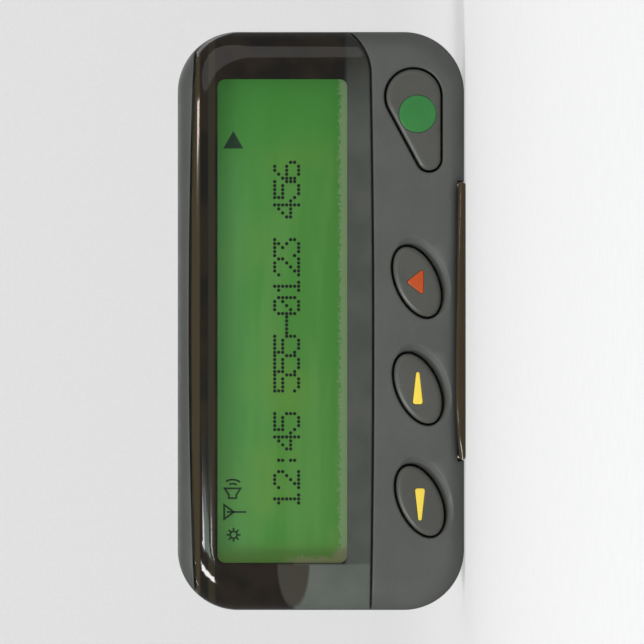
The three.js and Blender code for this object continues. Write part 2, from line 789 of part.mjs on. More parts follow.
// The lever's side profile: thumb pad above the pivot, belt gap below it, tip turned in to the plate.
function clipProfile() {
  const { inner, outer, low, top } = CLIP;
  const corners = [
    [inner, low + 5.5],
    [PLATE.back + 1.3, low + 1.4],
    [PLATE.back + 0.5, low + 0.5],
    [PLATE.back + 0.5, low],
    [PLATE.back + 1.4, low],
    [outer, low + 5],
    [outer + 0.2, PIVOT.z - 6],
    [outer + 0.2, PIVOT.z + 3],
    [CLIP_PAD_BACK, top - 0.8],
    [CLIP_PAD_BACK, top],
    [CLIP_PAD_BACK - 1.2, top],
    [inner + 0.3, PIVOT.z + 4.2],
    [inner, PIVOT.z],
  ];
  return new THREE.Shape(corners.map(([y, z]) => new THREE.Vector2(y, z)));
}

function beltClip() {
  const lever = bar(clipProfile(), -CLIP.half, CLIP.half);
  const barrelHalf = EAR.x0 - 0.3;
  const barrel = join(
    rod(PIVOT.y, PIVOT.z, PIVOT.barrel, -barrelHalf, barrelHalf, 20),
    block(-barrelHalf, barrelHalf, PIVOT.y, CLIP.outer, PIVOT.z - 2.2, PIVOT.z + 2.2),
  );
  const earRoom = [-1, 1].map((side) => {
    const x0 = side > 0 ? EAR.x0 - 0.3 : -CLIP.half - 1;
    const x1 = side > 0 ? CLIP.half + 1 : -EAR.x0 + 0.3;
    return rod(PIVOT.y, PIVOT.z, EAR.r + 0.35, x0, x1, 20);
  });
  const gripGrooves = [0, 1, 2].map((i) => {
    const z = CLIP.top - 2.2 - i * 1.7;
    return block(-7, 7, CLIP_PAD_BACK - 0.5 - i * 0.35, FAR, z - 0.35, z + 0.35);
  });
  return cut(
    join(lever, barrel),
    ...earRoom,
    rod(PIVOT.y, PIVOT.z, PIVOT.pin + 0.06, -FAR, FAR, 16),
    block(-SPRING_ROOM, SPRING_ROOM, -FAR, PIVOT.y + 3, PIVOT.z - 4, PIVOT.z + 4),
    ...gripGrooves,
  );
}

const clipPin = () => rod(PIVOT.y, PIVOT.z, PIVOT.pin, -EAR.x1 - 0.5, EAR.x1 + 0.5, 16);

// Torsion spring round the pin; its fixed leg lies against the holder's plate.
function clipSpring() {
  const radius = PIVOT.pin + 0.25 + SPRING_WIRE;
  const wound = coil(new Coil(-2.4, 2.4, radius, radius, 4), SPRING_WIRE, 44);
  const low = -radius - 0.25;
  const leg = block(-2.65, -2.15, -PIVOT.y + PLATE.back + 0.3, 0.15, low, low + 0.5);
  const freeLeg = block(2.15, 2.65, -0.15, 2.2, low, low + 0.5);
  return join(wound.rotate([-90, 0, 0]), leg, freeLeg).translate([0, PIVOT.y, PIVOT.z]);
}

// ---------------------------------------------------------------- assembly
const assembly = new THREE.Group();
assembly.position.set(0, SHIFT_Y, SHIFT_Z);

const holder = new THREE.Group();
const pager = new THREE.Group();
assembly.add(holder, pager);

function add(parent, name, body, material, x = 0, y = 0, z = 0) {
  const mesh = new THREE.Mesh(geometryOf(body), material);
  mesh.name = name;
  mesh.position.set(x, y, z);
  parent.add(mesh);
}

add(holder, "holster", holster(), materials.holder);
add(holder, "belt_clip", beltClip(), materials.clip);
add(holder, "clip_pin", clipPin(), materials.steel);
add(holder, "clip_spring", clipSpring(), materials.steel);

add(pager, "front_housing", frontHousing(), materials.housing);
add(pager, "rear_housing", rearHousing(), materials.housing);
add(pager, "battery_door", batteryDoor(), materials.housing);
add(pager, "display_window", windowLens(), materials.window);
add(pager, "window_gasket", windowGasket(), materials.gasket);
add(pager, "lcd_panel", lcdPanel(), materials.display);
add(pager, "lcd_frame", lcdFrame(), materials.frame);
add(pager, "backlight_panel", backlight(), materials.backlight);
add(pager, "contact_strip_lower", zebraStrip(), materials.rubber, 0, 0, 15.4);
add(pager, "contact_strip_upper", zebraStrip(), materials.rubber, 0, 0, 36.95);

const KEY_MARKS = [wedgeShape(-1), wedgeShape(1), triangleShape];
const MARK_MATERIALS = [materials.yellow, materials.yellow, materials.red];
OVAL_KEYS.forEach(({ name, x, z }, i) => {
  const key = keySolid(ovalOutline, KEY_MARKS[i], [0, 0]);
  add(pager, `key_${name}`, key, materials.key, x, 0, z);
  add(pager, `mark_${name}`, markInlay(KEY_MARKS[i]), MARK_MATERIALS[i], x, 0, z);
});
add(pager, "key_read", keySolid(tearOutline, dotShape, KEY_CENTRES[3]), materials.key);
add(pager, "mark_read", markInlay(dotShape), materials.green);

add(pager, "keypad_membrane", keypadMembrane(), materials.rubber);
KEY_CENTRES.forEach(([x, z], i) => {
  const name = OVAL_KEYS[i]?.name ?? "read";
  add(pager, `snap_dome_${name}`, snapDome(), materials.steel, x, BOARD_FRONT - 0.02, z);
});

add(pager, "main_board", mainBoard(), materials.board);
add(pager, "rf_shield", rfShield(), materials.steel);
add(pager, "processor", onBoard(-19, -9, 3.6, 11.6, 1.4), materials.chip);
add(pager, "memory_chip", onBoard(4.6, 12.6, 4, 10.4, 1.2), materials.chip);
add(pager, "crystal_can", crystalCan(), materials.steel);
add(pager, "loop_antenna", loopAntenna(), materials.brass);
add(pager, "buzzer", buzzer(), materials.buzzer);
add(pager, "vibration_motor", motorCan(), materials.steel);
add(pager, "motor_bracket", motorBracket(), materials.steel);
add(pager, "motor_weight", motorWeight(), materials.brass);
add(pager, "battery", batteryCell(), materials.cell);
add(pager, "battery_spring", batterySpring(), materials.steel);
add(pager, "battery_contact", batteryContact(), materials.steel);
SCREWS.forEach(([x, z], i) => {
  add(pager, `housing_screw_${i + 1}`, screw(), materials.steel, x, 0, z);
});

export default assembly;
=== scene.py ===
"""Looks of the belt pager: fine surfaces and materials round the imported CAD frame."""

import math

import bpy
import numpy as np
from mathutils import Matrix, Vector, geometry


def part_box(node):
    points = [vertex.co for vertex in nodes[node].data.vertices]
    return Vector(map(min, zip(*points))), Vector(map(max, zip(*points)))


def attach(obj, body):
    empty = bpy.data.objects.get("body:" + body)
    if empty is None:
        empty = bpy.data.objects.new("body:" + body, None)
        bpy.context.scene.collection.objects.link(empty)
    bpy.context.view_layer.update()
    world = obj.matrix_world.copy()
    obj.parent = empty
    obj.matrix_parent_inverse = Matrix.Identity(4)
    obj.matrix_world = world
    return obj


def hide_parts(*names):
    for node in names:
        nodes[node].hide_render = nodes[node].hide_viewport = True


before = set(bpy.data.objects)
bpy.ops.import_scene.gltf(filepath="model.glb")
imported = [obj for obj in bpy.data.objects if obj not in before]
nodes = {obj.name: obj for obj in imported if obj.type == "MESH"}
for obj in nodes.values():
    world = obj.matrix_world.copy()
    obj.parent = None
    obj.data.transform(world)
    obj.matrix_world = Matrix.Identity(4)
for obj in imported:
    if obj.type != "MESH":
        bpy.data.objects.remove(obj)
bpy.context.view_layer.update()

# ------------------------------------------------------------------ driving dimensions
# Millimetres in the pager's own frame: x = 0 at mid width, z = 0 at its lowest edge, and y as in
# the CAD source, where the flat of the face lies at y = FRONT.
MM = 0.001
FRONT = -9.3
face_low, face_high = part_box("front_housing")
rear_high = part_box("rear_housing")[1]
SHIFT_Y = face_low.y / MM - FRONT
SHIFT_Z = face_low.z / MM
WIDTH = (face_high.x - face_low.x) / MM
HEIGHT = (face_high.z - face_low.z) / MM
BACK = rear_high.y / MM - SHIFT_Y
CORNER = 9.0
EDGE = 4.8
EDGE_DEPTH = 4.6
BACK_EDGE = 2.5
LOW_SHARE = 0.5
PARTING = 1.5
SEAM = 0.3
WALL = 1.4
CAVITY_FRONT = -6.5

WINDOW_TOP = 39.9
WINDOW_BOW = 0.95
WINDOW_LOW = 13.8
WINDOW_SAG = 0.4
SWEEP_X = 37.0
SWEEP_RISE = 4.4
RECESS_FLOOR = -7.7
WRAP_BACK = -5.6

VIEW_HALF = 35.8
VIEW_LOW = 17.4
VIEW_TOP = 36.6
LCD_FRONT = -6.3

KEY_CENTRES = {"left": (-26.6, 6.65), "right": (-10.0, 6.95), "select": (5.8, 7.09)}
KEY_LONG = 5.48
KEY_TALL = 3.84
KEY_LEAN = math.radians(23.6)
KEY_GAP = 0.32
KEY_PROUD = 0.42
TEAR_TIP = (23.95, 5.3, 2.0)
TEAR_END = (33.2, 7.62, 4.32)

# Surfaces over a plan.
STEEP = 0.02  # a step in a height field takes this much width
RIM_SHARES = (0.0, 0.15, 0.4, 0.7, 1.0)
FOOT_HALF = 20.8
FOOT_TOP = 1.05

# Materials.
TONGUE_Z = 25.35
TONGUE_HALF = (6.8, 2.45)

# Front housing.
SEAM_RIM = 0.24
KEY_RIM = 0.3
APERTURE_SPREAD = 0.8
SCOOP = {"right": 0.85, "down": 0.85, "grow": 0.35, "slope": 0.72, "depth": 0.85}

# Window lens.
LENS_GAP = 0.28
LENS_RIM = 0.3
LENS_ROLL_START = 36.9
LENS_ROLL = 0.5
LENS_LEAST = 0.12  # the lens is nowhere thinner than this
LENS_STEPS = (0.95, 1.0, 2.1, 2.18)  # insets where its back steps

# Keys and their marks.
KEY_ROUND = 0.8
KEY_ROUND_DROP = 0.5
KEY_DOME = 0.12
KEY_BACK = -6.25
MARK_DEPTH = 0.16
MARK_RIM = 0.08
MARK_CENTRES = {"left": (-27.05, 6.65), "right": (-9.95, 6.97), "select": (5.77, 7.04)}
DISC = (30.6, 7.0, 2.8)

# What the display shows.
DOT_PITCH = 0.592
DOT_RADIUS = 0.26
CHARACTER_PITCH = 2.87
TEXT_START = -27.6
TEXT_LOW = 24.6
SYMBOL_STROKE = 0.27
INK_THICK = 0.02

# Rear housing.
DOOR_X = -12.6
DOOR_LOW = 25.6
DOOR_TOP = 39.4
DOOR_FRONT = 9.6
DOOR_GAP = 0.15
DOOR_RIM = 0.3
DOOR_LEAST = 0.04  # the door is nowhere thinner than this
BAY = (-10.6, 40.4, 26.9, 38.5)
BAY_FRONT = -1.4
TUB_WALL = 1.0
CAVITY_BACK = 9.3
RIB_HALF = 3.7
RIB_TOP = 20.0
RIB_LOW = 6.0
RIB_FRONT = 10.2
SCREWS = [(-38.2, 7.4), (16.6, 5.9), (-40.5, 21.5), (40.5, 21.5)]
SCREW_HEAD = 1.5
HEAD_ROOM = 1.65
HEAD_DEPTH = 1.2
BORE = 0.95
BOSS = 1.75
BOARD_BACK = -1.8
SOUND_X = -31.5
SOUND_Z = 13.0
SOUND_SLOTS = 4
SOUND_PITCH = 2.2
SOUND_HALF = 4.2
SOUND_WIDTH = 0.9
FAR = 60.0

# Battery door and screws.
GRIP_X = 27.0
GRIP_COUNT = 5
GRIP_PITCH = 2.0
GRIP_HALF = 0.45
GRIP_DEPTH = 0.35
GRIP_LOW = 28.9
GRIP_TOP = 36.1
ARROW = [(19.6, 31.2), (22.2, 32.5), (19.6, 33.8)]

# Turned and swept pieces.
CELL_X = 14.9
CELL_Y = 4.1
CELL_Z = 32.7
CELL_HALF = 22.25
CELL_RADIUS = 5.25
SEAT_X = -10.55
SEAT_THICK = 0.35
SEAT_SIZE = np.array([8.4, 9.2])
PIVOT_Y = 15.9
PIVOT_Z = 31.0
PIN = 1.0
EAR_INNER = 8.3
EAR_OUTER = 10.3
SPRING_WIRE = 0.3
COIL_RADIUS = PIN + 0.25 + SPRING_WIRE

# Belt holder.
HOLDER_HALF = 20.5
LIP_FRONT = -10.8
LIP_THICK = 1.2
LIP_CREST = -11.0
LIP_TOP = 1.4
LIP_END = 0.5
TRAY_UNDER = -0.1
TRAY_THICK = 0.85
PLATE_BACK = 12.7
PLATE_THICK = 1.6
PLATE_TOP = 38.0
PLATE_CORNER = 6.0
FRONT_BEND = 1.4
REAR_BEND = 2.2
PAD_HALF = 8.0
PAD_LOW = 8.5
PAD_TOP = 26.5
PAD_RISE = 0.25
EAR_RADIUS = 3.0

# Belt clip.
CLIP_HALF = 10.0
CLIP_INNER = 17.4
CLIP_OUTER = 19.0
CLIP_LOW = 3.0
CLIP_TOP = 41.2
CLIP_PAD_BACK = 20.8
CLIP_EDGE = 0.55
NOTCH_SHARES = (0.4, 0.6, 0.8)  # grip grooves up the thumb pad
NOTCH_HALF = 0.05
NOTCH_DEPTH = 0.4
SPRING_ROOM = 3.4
BARREL = 2.6
EAR_ROOM = 0.2  # the lever's sides are cut back this much round the holder's ears
BARREL_HALF = EAR_INNER - 0.3

# Stage, camera and lights.
LENS_LENGTH = 250.0
SENSOR = 36.0
CAMERA_AWAY = 0.6609
FLOOR_RADIUS = 1.6
COVE_RADIUS = 0.8
WALL_TOP = 1.1
PAPER_GLOW = 0.45
LIT_POINT = (0, -0.014, 0.03)

# ------------------------------------------------------------------ outlines, as arrays of x, z


def arc(x, z, radius, start, end, spacing=0.35):
    """Points on an arc, angles in quarter turns, without its last point."""
    a0, a1 = start * math.pi / 2, end * math.pi / 2
    count = max(3, math.ceil(abs(a1 - a0) * radius / spacing))
    a = a0 + (a1 - a0) * np.arange(count) / count
    return np.column_stack([x + radius * np.cos(a), z + radius * np.sin(a)])


def line(start, end, spacing=0.9):
    """Points on a straight stretch, without its last point."""
    start, end = np.array(start, float), np.array(end, float)
    count = max(1, math.ceil(np.linalg.norm(end - start) / spacing))
    return start + (end - start) * (np.arange(count) / count)[:, None]


def rounded(x0, x1, z0, z1, r, spacing=0.9):
    """A rounded rectangle, anticlockwise."""
    fine = min(0.35, spacing)
    return np.vstack(
        [
            arc(x1 - r, z0 + r, r, 3, 4, fine),
            line((x1, z0 + r), (x1, z1 - r), spacing),
            arc(x1 - r, z1 - r, r, 0, 1, fine),
            line((x1 - r, z1), (x0 + r, z1), spacing),
            arc(x0 + r, z1 - r, r, 1, 2, fine),
            line((x0, z1 - r), (x0, z0 + r), spacing),
            arc(x0 + r, z0 + r, r, 2, 3, fine),
            line((x0 + r, z0), (x1 - r, z0), spacing),
        ]
    )


def body_outline(inset):
    """The pager's outline moved in evenly by inset."""
    half = WIDTH / 2 - inset
    return rounded(-half, half, inset, HEIGHT - inset, CORNER - inset)


def body_ring(inset):
    """The ring of the pager's rounded edge that lies inset inside the outline."""
    half = WIDTH / 2 - inset
    r = CORNER - 0.6 * inset
    return rounded(-half, half, LOW_SHARE * inset, HEIGHT - inset, r)


def oval(x, z, inset=0.0, count=96):
    """A leaning oval key outline."""
    t = 2 * math.pi * np.arange(count) / count
    across = (KEY_LONG - inset) * np.cos(t)
    return np.column_stack([x + across, z + (KEY_TALL - inset) * np.sin(t + KEY_LEAN)])


def teardrop(inset=0.0):
    """The fourth key's outline: two circles and their common tangents."""
    (x0, z0, r0), (x1, z1, r1) = TEAR_TIP, TEAR_END
    along = math.atan2(z1 - z0, x1 - x0)
    spread = math.acos((r0 - r1) / math.hypot(x1 - x0, z1 - z0))
    quarter = math.pi / 2
    end = arc(x1, z1, r1 - inset, (along - spread) / quarter, (along + spread) / quarter)
    tip = arc(x0, z0, r0 - inset, (along + spread) / quarter, (along - spread) / quarter + 4)

    def at(centre, radius, angle):
        return (centre[0] + radius * math.cos(angle), centre[1] + radius * math.sin(angle))

    over = line(at((x1, z1), r1 - inset, along + spread), at((x0, z0), r0 - inset, along + spread))
    under = line(at((x0, z0), r0 - inset, along - spread), at((x1, z1), r1 - inset, along - spread))
    return np.vstack([end, over, tip, under])


def offset(loop, distance):
    """A closed anticlockwise loop moved out by distance."""
    tangent = np.roll(loop, -1, 0) - np.roll(loop, 1, 0)
    normal = np.column_stack([tangent[:, 1], -tangent[:, 0]])
    return loop + distance * normal / np.linalg.norm(normal, axis=1)[:, None]


def distance_to(loop, x, z):
    """Signed distance of points to a closed loop, negative inside it."""
    a, b = loop, np.roll(loop, -1, 0)
    best = np.full(len(x), np.inf)
    inside = np.zeros(len(x), bool)
    for (ax, az), (bx, bz) in zip(a, b):
        dx, dz = bx - ax, bz - az
        t = np.clip(((x - ax) * dx + (z - az) * dz) / (dx * dx + dz * dz), 0, 1)
        best = np.minimum(best, np.hypot(x - ax - t * dx, z - az - t * dz))
        crosses = (az > z) != (bz > z)
        with np.errstate(divide="ignore", invalid="ignore"):
            inside ^= crosses & (x < ax + (z - az) * dx / dz)
    return np.where(inside, -best, best)


# ------------------------------------------------------------------ the pager's outer form


def edge_inset(x, z):
    """How far inside the outline each point lies, up to EDGE, counted in the edge's own rings."""
    low, high = np.zeros(len(x)), np.full(len(x), EDGE)
    for _ in range(24):
        inset = (low + high) / 2
        half_x = WIDTH / 2 - inset
        z0, z1 = LOW_SHARE * inset, HEIGHT - inset
        r = CORNER - 0.6 * inset
        qx = np.abs(x) - half_x + r
        qz = np.abs(z - (z0 + z1) / 2) - (z1 - z0) / 2 + r
        outside = np.hypot(np.maximum(qx, 0), np.maximum(qz, 0))
        inside = outside + np.minimum(np.maximum(qx, qz), 0) - r < 0
        low, high = np.where(inside, inset, low), np.where(inside, high, inset)
    return (low + high) / 2


def quarter_round(distance, reach, depth):
    """Drop of an elliptical edge at a distance in from where it starts."""
    share = np.clip(1 - distance / reach, 0, 1)
    return depth * (1 - np.sqrt(1 - share**2))


def face_y(x, z):
    return FRONT + quarter_round(edge_inset(x, z), EDGE, EDGE_DEPTH)


def back_y(x, z):
    return BACK - quarter_round(edge_inset(x, z), BACK_EDGE, BACK_EDGE)


def ring_steps(reach, count):
    """Insets of the rings round an edge, closest where it curves most."""
    a = np.linspace(0, math.pi / 2, count)
    return reach * (1 - np.cos(a))


def bezier(a, b, c, count):
    t = np.linspace(0, 1, count)[:, None]
    a, b, c = (np.array(p, float) for p in (a, b, c))
    return (1 - t) ** 2 * a + 2 * t * (1 - t) * b + t**2 * c


# Lower seam of the window, from beyond the left end to beyond the right one.
SEAM_END = WIDTH / 2 + 1
seam_curve = np.vstack(
    [
        bezier((-SEAM_END, WINDOW_LOW), (-4, WINDOW_LOW - 2 * WINDOW_SAG), (SWEEP_X, WINDOW_LOW), 90),
        bezier(
            (SWEEP_X, WINDOW_LOW),
            (SWEEP_X + 4, WINDOW_LOW + 0.3),
            (SEAM_END, WINDOW_LOW + SWEEP_RISE),
            40,
        )[1:],
    ]
)
seam_slope = np.gradient(seam_curve[:, 1], seam_curve[:, 0])


def window_top(x):
    """Height of the window's upper seam, which bows up towards mid width."""
    return WINDOW_TOP + WINDOW_BOW * (1 - (x / SEAM_END) ** 2)


def window_distance(x, z):
    """Signed distance to the window's two long seams, negative inside the window."""
    low = np.interp(x, seam_curve[:, 0], seam_curve[:, 1])
    lean = np.sqrt(1 + np.interp(x, seam_curve[:, 0], seam_slope) ** 2)
    return np.maximum(z - window_top(x), (low - z) / lean)


def window_lines(distance):
    """The two seams moved out of the window by distance, as open lines."""
    normal = np.column_stack([seam_slope, -np.ones(len(seam_slope))])
    normal /= np.linalg.norm(normal, axis=1)[:, None]
    x = np.linspace(SEAM_END, -SEAM_END, 100)
    return [seam_curve + distance * normal, np.column_stack([x, window_top(x) + distance])]


# ------------------------------------------------------------------ surfaces over a plan


class Plan:
    """Curves and points in x, z that a surface's triangles have to follow."""

    def __init__(self):
        self.points, self.edges = [], []

    def add(self, curve, closed=True):
        first = len(self.points)
        self.points += [tuple(p) for p in curve]
        count = len(curve)
        self.edges += [(first + i, first + i + 1) for i in range(count - 1)]
        if closed:
            self.edges.append((first + count - 1, first))

    def scatter(self, x0, x1, z0, z1, spacing, clear):
        """Loose points on a staggered grid where clear(x, z) says so."""
        rows = np.arange(z0, z1, spacing * 0.87)
        x, z = np.meshgrid(np.arange(x0, x1, spacing), rows)
        x = x + (np.arange(len(rows)) % 2)[:, None] * spacing / 2
        x, z = x.ravel(), z.ravel()
        self.points += [tuple(p) for p in np.column_stack([x, z])[clear(x, z)]]

    def triangles(self, keep):
        flat = [Vector(p) for p in self.points]
        verts, _, faces, _, _, _ = geometry.delaunay_2d_cdt(flat, self.edges, [], 0, 1e-5, False)
        xz = np.array([tuple(v) for v in verts])
        tri = np.array(faces)
        centre = xz[tri].mean(1)
        tri = tri[keep(centre[:, 0], centre[:, 1])]
        used, tri = np.unique(tri, return_inverse=True)
        return xz[used], tri.reshape(-1, 3)


def plate_mesh(name, plan, keep, front, back, mark=None, place=None):
    """A closed solid between two height fields over a plan. mark picks a material per face, and
    place carries flat points to the pager's frame."""
    xz, tri = plan.triangles(keep)
    x, z = xz[:, 0], xz[:, 1]
    a, b, c = xz[tri[:, 0]], xz[tri[:, 1]], xz[tri[:, 2]]
    turn = (b - a)[:, 0] * (c - a)[:, 1] - (b - a)[:, 1] * (c - a)[:, 0]
    tri = np.where((turn < 0)[:, None], tri[:, ::-1], tri)
    count = len(xz)
    verts = np.vstack([np.column_stack([x, front(x, z), z]), np.column_stack([x, back(x, z), z])])
    if place:
        verts = place(verts)
    directed = {}
    for t in tri:
        for i in range(3):
            directed[(t[i], t[(i + 1) % 3])] = True
    rim = [(i, j) for i, j in directed if (j, i) not in directed]
    sides = [(i, i + count, j + count, j) for i, j in rim]
    faces = [tuple(t) for t in tri] + [tuple(t[::-1] + count) for t in tri] + sides
    obj = mesh_object(name, verts, faces)
    if mark:
        centre = xz[tri].mean(1)
        index = mark(centre[:, 0], centre[:, 1]).astype(np.int32)
        both = np.concatenate([index, index, np.zeros(len(sides), np.int32)])
        obj.data.polygons.foreach_set("material_index", both)
    return obj


def to_world(verts):
    return (np.asarray(verts, float) + (0, SHIFT_Y, SHIFT_Z)) * MM


def mesh_object(name, verts, faces, smooth_angle=40):
    mesh = bpy.data.meshes.new(name)
    mesh.from_pydata(to_world(verts).tolist(), [], [[int(i) for i in f] for f in faces])
    mesh.validate()
    mesh.shade_smooth()
    obj = bpy.data.objects.new(name, mesh)
    bpy.context.scene.collection.objects.link(obj)
    mesh.set_sharp_from_angle(angle=math.radians(smooth_angle))
    return obj


def stand_for(obj, body, slot, material, *replaced):
    """The piece rides on a body, takes the given material, and may stand for CAD nodes; slot is not used."""
    for each in material if isinstance(material, (list, tuple)) else [material]:
        obj.data.materials.append(each)
    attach(obj, body)
    if replaced:
        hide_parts(*replaced)
    return obj


def body_distance(x, z):
    """Signed distance to the pager's outline, negative inside."""
    qx = np.abs(x) - WIDTH / 2 + CORNER
    qz = np.abs(z - HEIGHT / 2) - HEIGHT / 2 + CORNER
    outside = np.hypot(np.maximum(qx, 0), np.maximum(qz, 0))
    return outside + np.minimum(np.maximum(qx, qz), 0) - CORNER


def box_distance(x, z, x0, x1, z0, z1, r=0.0):
    """Signed distance to a rounded rectangle, negative inside."""
    qx = np.abs(x - (x0 + x1) / 2) - (x1 - x0) / 2 + r
    qz = np.abs(z - (z0 + z1) / 2) - (z1 - z0) / 2 + r
    outside = np.hypot(np.maximum(qx, 0), np.maximum(qz, 0))
    return outside + np.minimum(np.maximum(qx, qz), 0) - r


def rim_drop(distance, radius):
    """Drop of a small rounded rim at a distance outside a hole."""
    return quarter_round(np.maximum(distance, 0), radius, radius)


def open_path(points):
    """Straight stretches through points, with the last point kept."""
    stretches = [line(a, b) for a, b in zip(points, points[1:])]
    return np.vstack([*stretches, [points[-1]]])


def foot_edge():
    half = FOOT_HALF
    return open_path([(-half, -1), (-half, FOOT_TOP), (half, FOOT_TOP), (half, -1)])


def in_foot(x, z):
    return (np.abs(x) < FOOT_HALF) & (z < FOOT_TOP)


# ------------------------------------------------------------------ materials


def add(tree, kind, settings=None, **inputs):
    """A shader node with its settings and inputs, given as values or as sockets to link."""
    node = tree.nodes.new("ShaderNode" + kind)
    for key, value in (settings or {}).items():
        setattr(node, key, value)
    for key, value in inputs.items():
        socket = node.inputs[int(key[1:])] if key[0] == "_" else node.inputs[key.replace("_", " ")]
        if isinstance(value, bpy.types.NodeSocket):
            tree.links.new(value, socket)
        else:
            socket.default_value = value
    return node


def colour(red, green, blue):
    """A linear colour from its 0 to 255 values on screen."""
    return tuple(linear(v / 255) for v in (red, green, blue)) + (1.0,)


def linear(value):
    return value / 12.92 if value <= 0.04045 else ((value + 0.055) / 1.055) ** 2.4


def new_material(name):
    made = bpy.data.materials.new(name)
    made.use_nodes = True
    tree = made.node_tree
    shader = next(n for n in tree.nodes if n.type == "BSDF_PRINCIPLED")
    place = add(tree, "TexCoord").outputs["Object"]
    return made, tree, shader, place


def noise(tree, place, size, detail=2.0, roughness=0.5):
    """Noise whose grains are about size millimetres across."""
    node = add(tree, "TexNoise", Vector=place, Scale=1 / (size * MM), Detail=detail, Roughness=roughness)
    return node.outputs["Fac"]


def between(tree, fac, low, high, first, second, smooth=True):
    """fac from low to high carried over to first to second."""
    kind = "SMOOTHSTEP" if smooth else "LINEAR"
    node = add(tree, "MapRange", {"interpolation_type": kind}, Value=fac, From_Min=low, From_Max=high)
    node.inputs["To Min"].default_value = first
    node.inputs["To Max"].default_value = second
    return node.outputs["Result"]


def mix(tree, fac, a, b):
    """Colour a where fac is 0 and b where it is 1."""
    node = tree.nodes.new("ShaderNodeMix")
    node.data_type = "RGBA"
    sockets = {"Factor": fac, "A": a, "B": b}
    for key, value in sockets.items():
        kind = "VALUE" if key == "Factor" else "RGBA"
        socket = next(s for s in node.inputs if s.name == key and s.type == kind)
        if isinstance(value, bpy.types.NodeSocket):
            tree.links.new(value, socket)
        else:
            socket.default_value = value
    return next(s for s in node.outputs if s.type == "RGBA")


def product(tree, a, b):
    return add(tree, "Math", {"operation": "MULTIPLY"}, _0=a, _1=b).outputs[0]


def larger(tree, a, b):
    return add(tree, "Math", {"operation": "MAXIMUM"}, _0=a, _1=b).outputs[0]


def scaled_sum(tree, value, scale, start):
    return add(tree, "Math", {"operation": "MULTIPLY_ADD"}, _0=value, _1=scale, _2=start).outputs[0]


def reach_from(tree, place, centre, scale):
    """Distance of place from centre, in a space stretched by scale."""
    away = add(tree, "VectorMath", {"operation": "SUBTRACT"}, _0=place, _1=centre).outputs[0]
    shaped = add(tree, "VectorMath", {"operation": "MULTIPLY"}, _0=away, _1=scale).outputs[0]
    return add(tree, "VectorMath", {"operation": "LENGTH"}, _0=shaped).outputs["Value"]


def rather(tint, share):
    """A tint made darker or lighter by a share."""
    return tuple(c * share for c in tint[:3]) + (1.0,)


def at_height(z):
    """A height in the pager's frame as metres in the world."""
    return (z + SHIFT_Z) * MM


def moulded(name, tint, roughness, grain=0.22, depth=0.02, spread=0.12, gloss=0.5, coat=0.0):
    """Moulded plastic: a fine etched grain, slight cloudiness and a few handling marks."""
    made, tree, shader, place = new_material(name)
    dark, light = rather(tint, 1 - spread), rather(tint, 1 + spread)
    cloud = noise(tree, place, 9.0, 3.0)
    speck = noise(tree, place, grain * 1.6, 2.0)
    clouded = mix(tree, between(tree, cloud, 0.35, 0.65, 0, 1), dark, light)
    specked = mix(tree, between(tree, speck, 0.3, 0.7, 0, 1), dark, light)
    tree.links.new(mix(tree, 0.45, clouded, specked), shader.inputs["Base Color"])
    worn = noise(tree, place, 3.5, 4.0, 0.65)
    rough = between(tree, worn, 0.3, 0.75, roughness - 0.05, roughness + 0.07)
    tree.links.new(rough, shader.inputs["Roughness"])
    if depth:
        fine = noise(tree, place, grain, 2.0, 0.6)
        bump = add(tree, "Bump", Strength=0.6, Distance=depth * MM, Height=fine)
        tree.links.new(bump.outputs["Normal"], shader.inputs["Normal"])
    shader.inputs["Specular IOR Level"].default_value = gloss
    shader.inputs["Coat Weight"].default_value = coat
    shader.inputs["Coat Roughness"].default_value = 0.06
    return made


def metal(name, tint, roughness, brush=0.15, along="X"):
    """Drawn or brushed metal with fine lines along one axis."""
    made, tree, shader, place = new_material(name)
    stretch = {"X": (0.05, 1, 1), "Y": (1, 0.05, 1), "Z": (1, 1, 0.05)}[along]
    drawn = add(tree, "Mapping", Vector=place, Scale=stretch).outputs["Vector"]
    lines = noise(tree, drawn, brush, 3.0)
    lined = mix(tree, between(tree, lines, 0.3, 0.7, 0, 1), rather(tint, 0.8), tint)
    tree.links.new(lined, shader.inputs["Base Color"])
    rough = between(tree, lines, 0.3, 0.7, roughness * 0.75, roughness * 1.3)
    tree.links.new(rough, shader.inputs["Roughness"])
    shader.inputs["Metallic"].default_value = 1.0
    bump = add(tree, "Bump", Strength=0.25, Distance=0.004 * MM, Height=lines)
    tree.links.new(bump.outputs["Normal"], shader.inputs["Normal"])
    return made


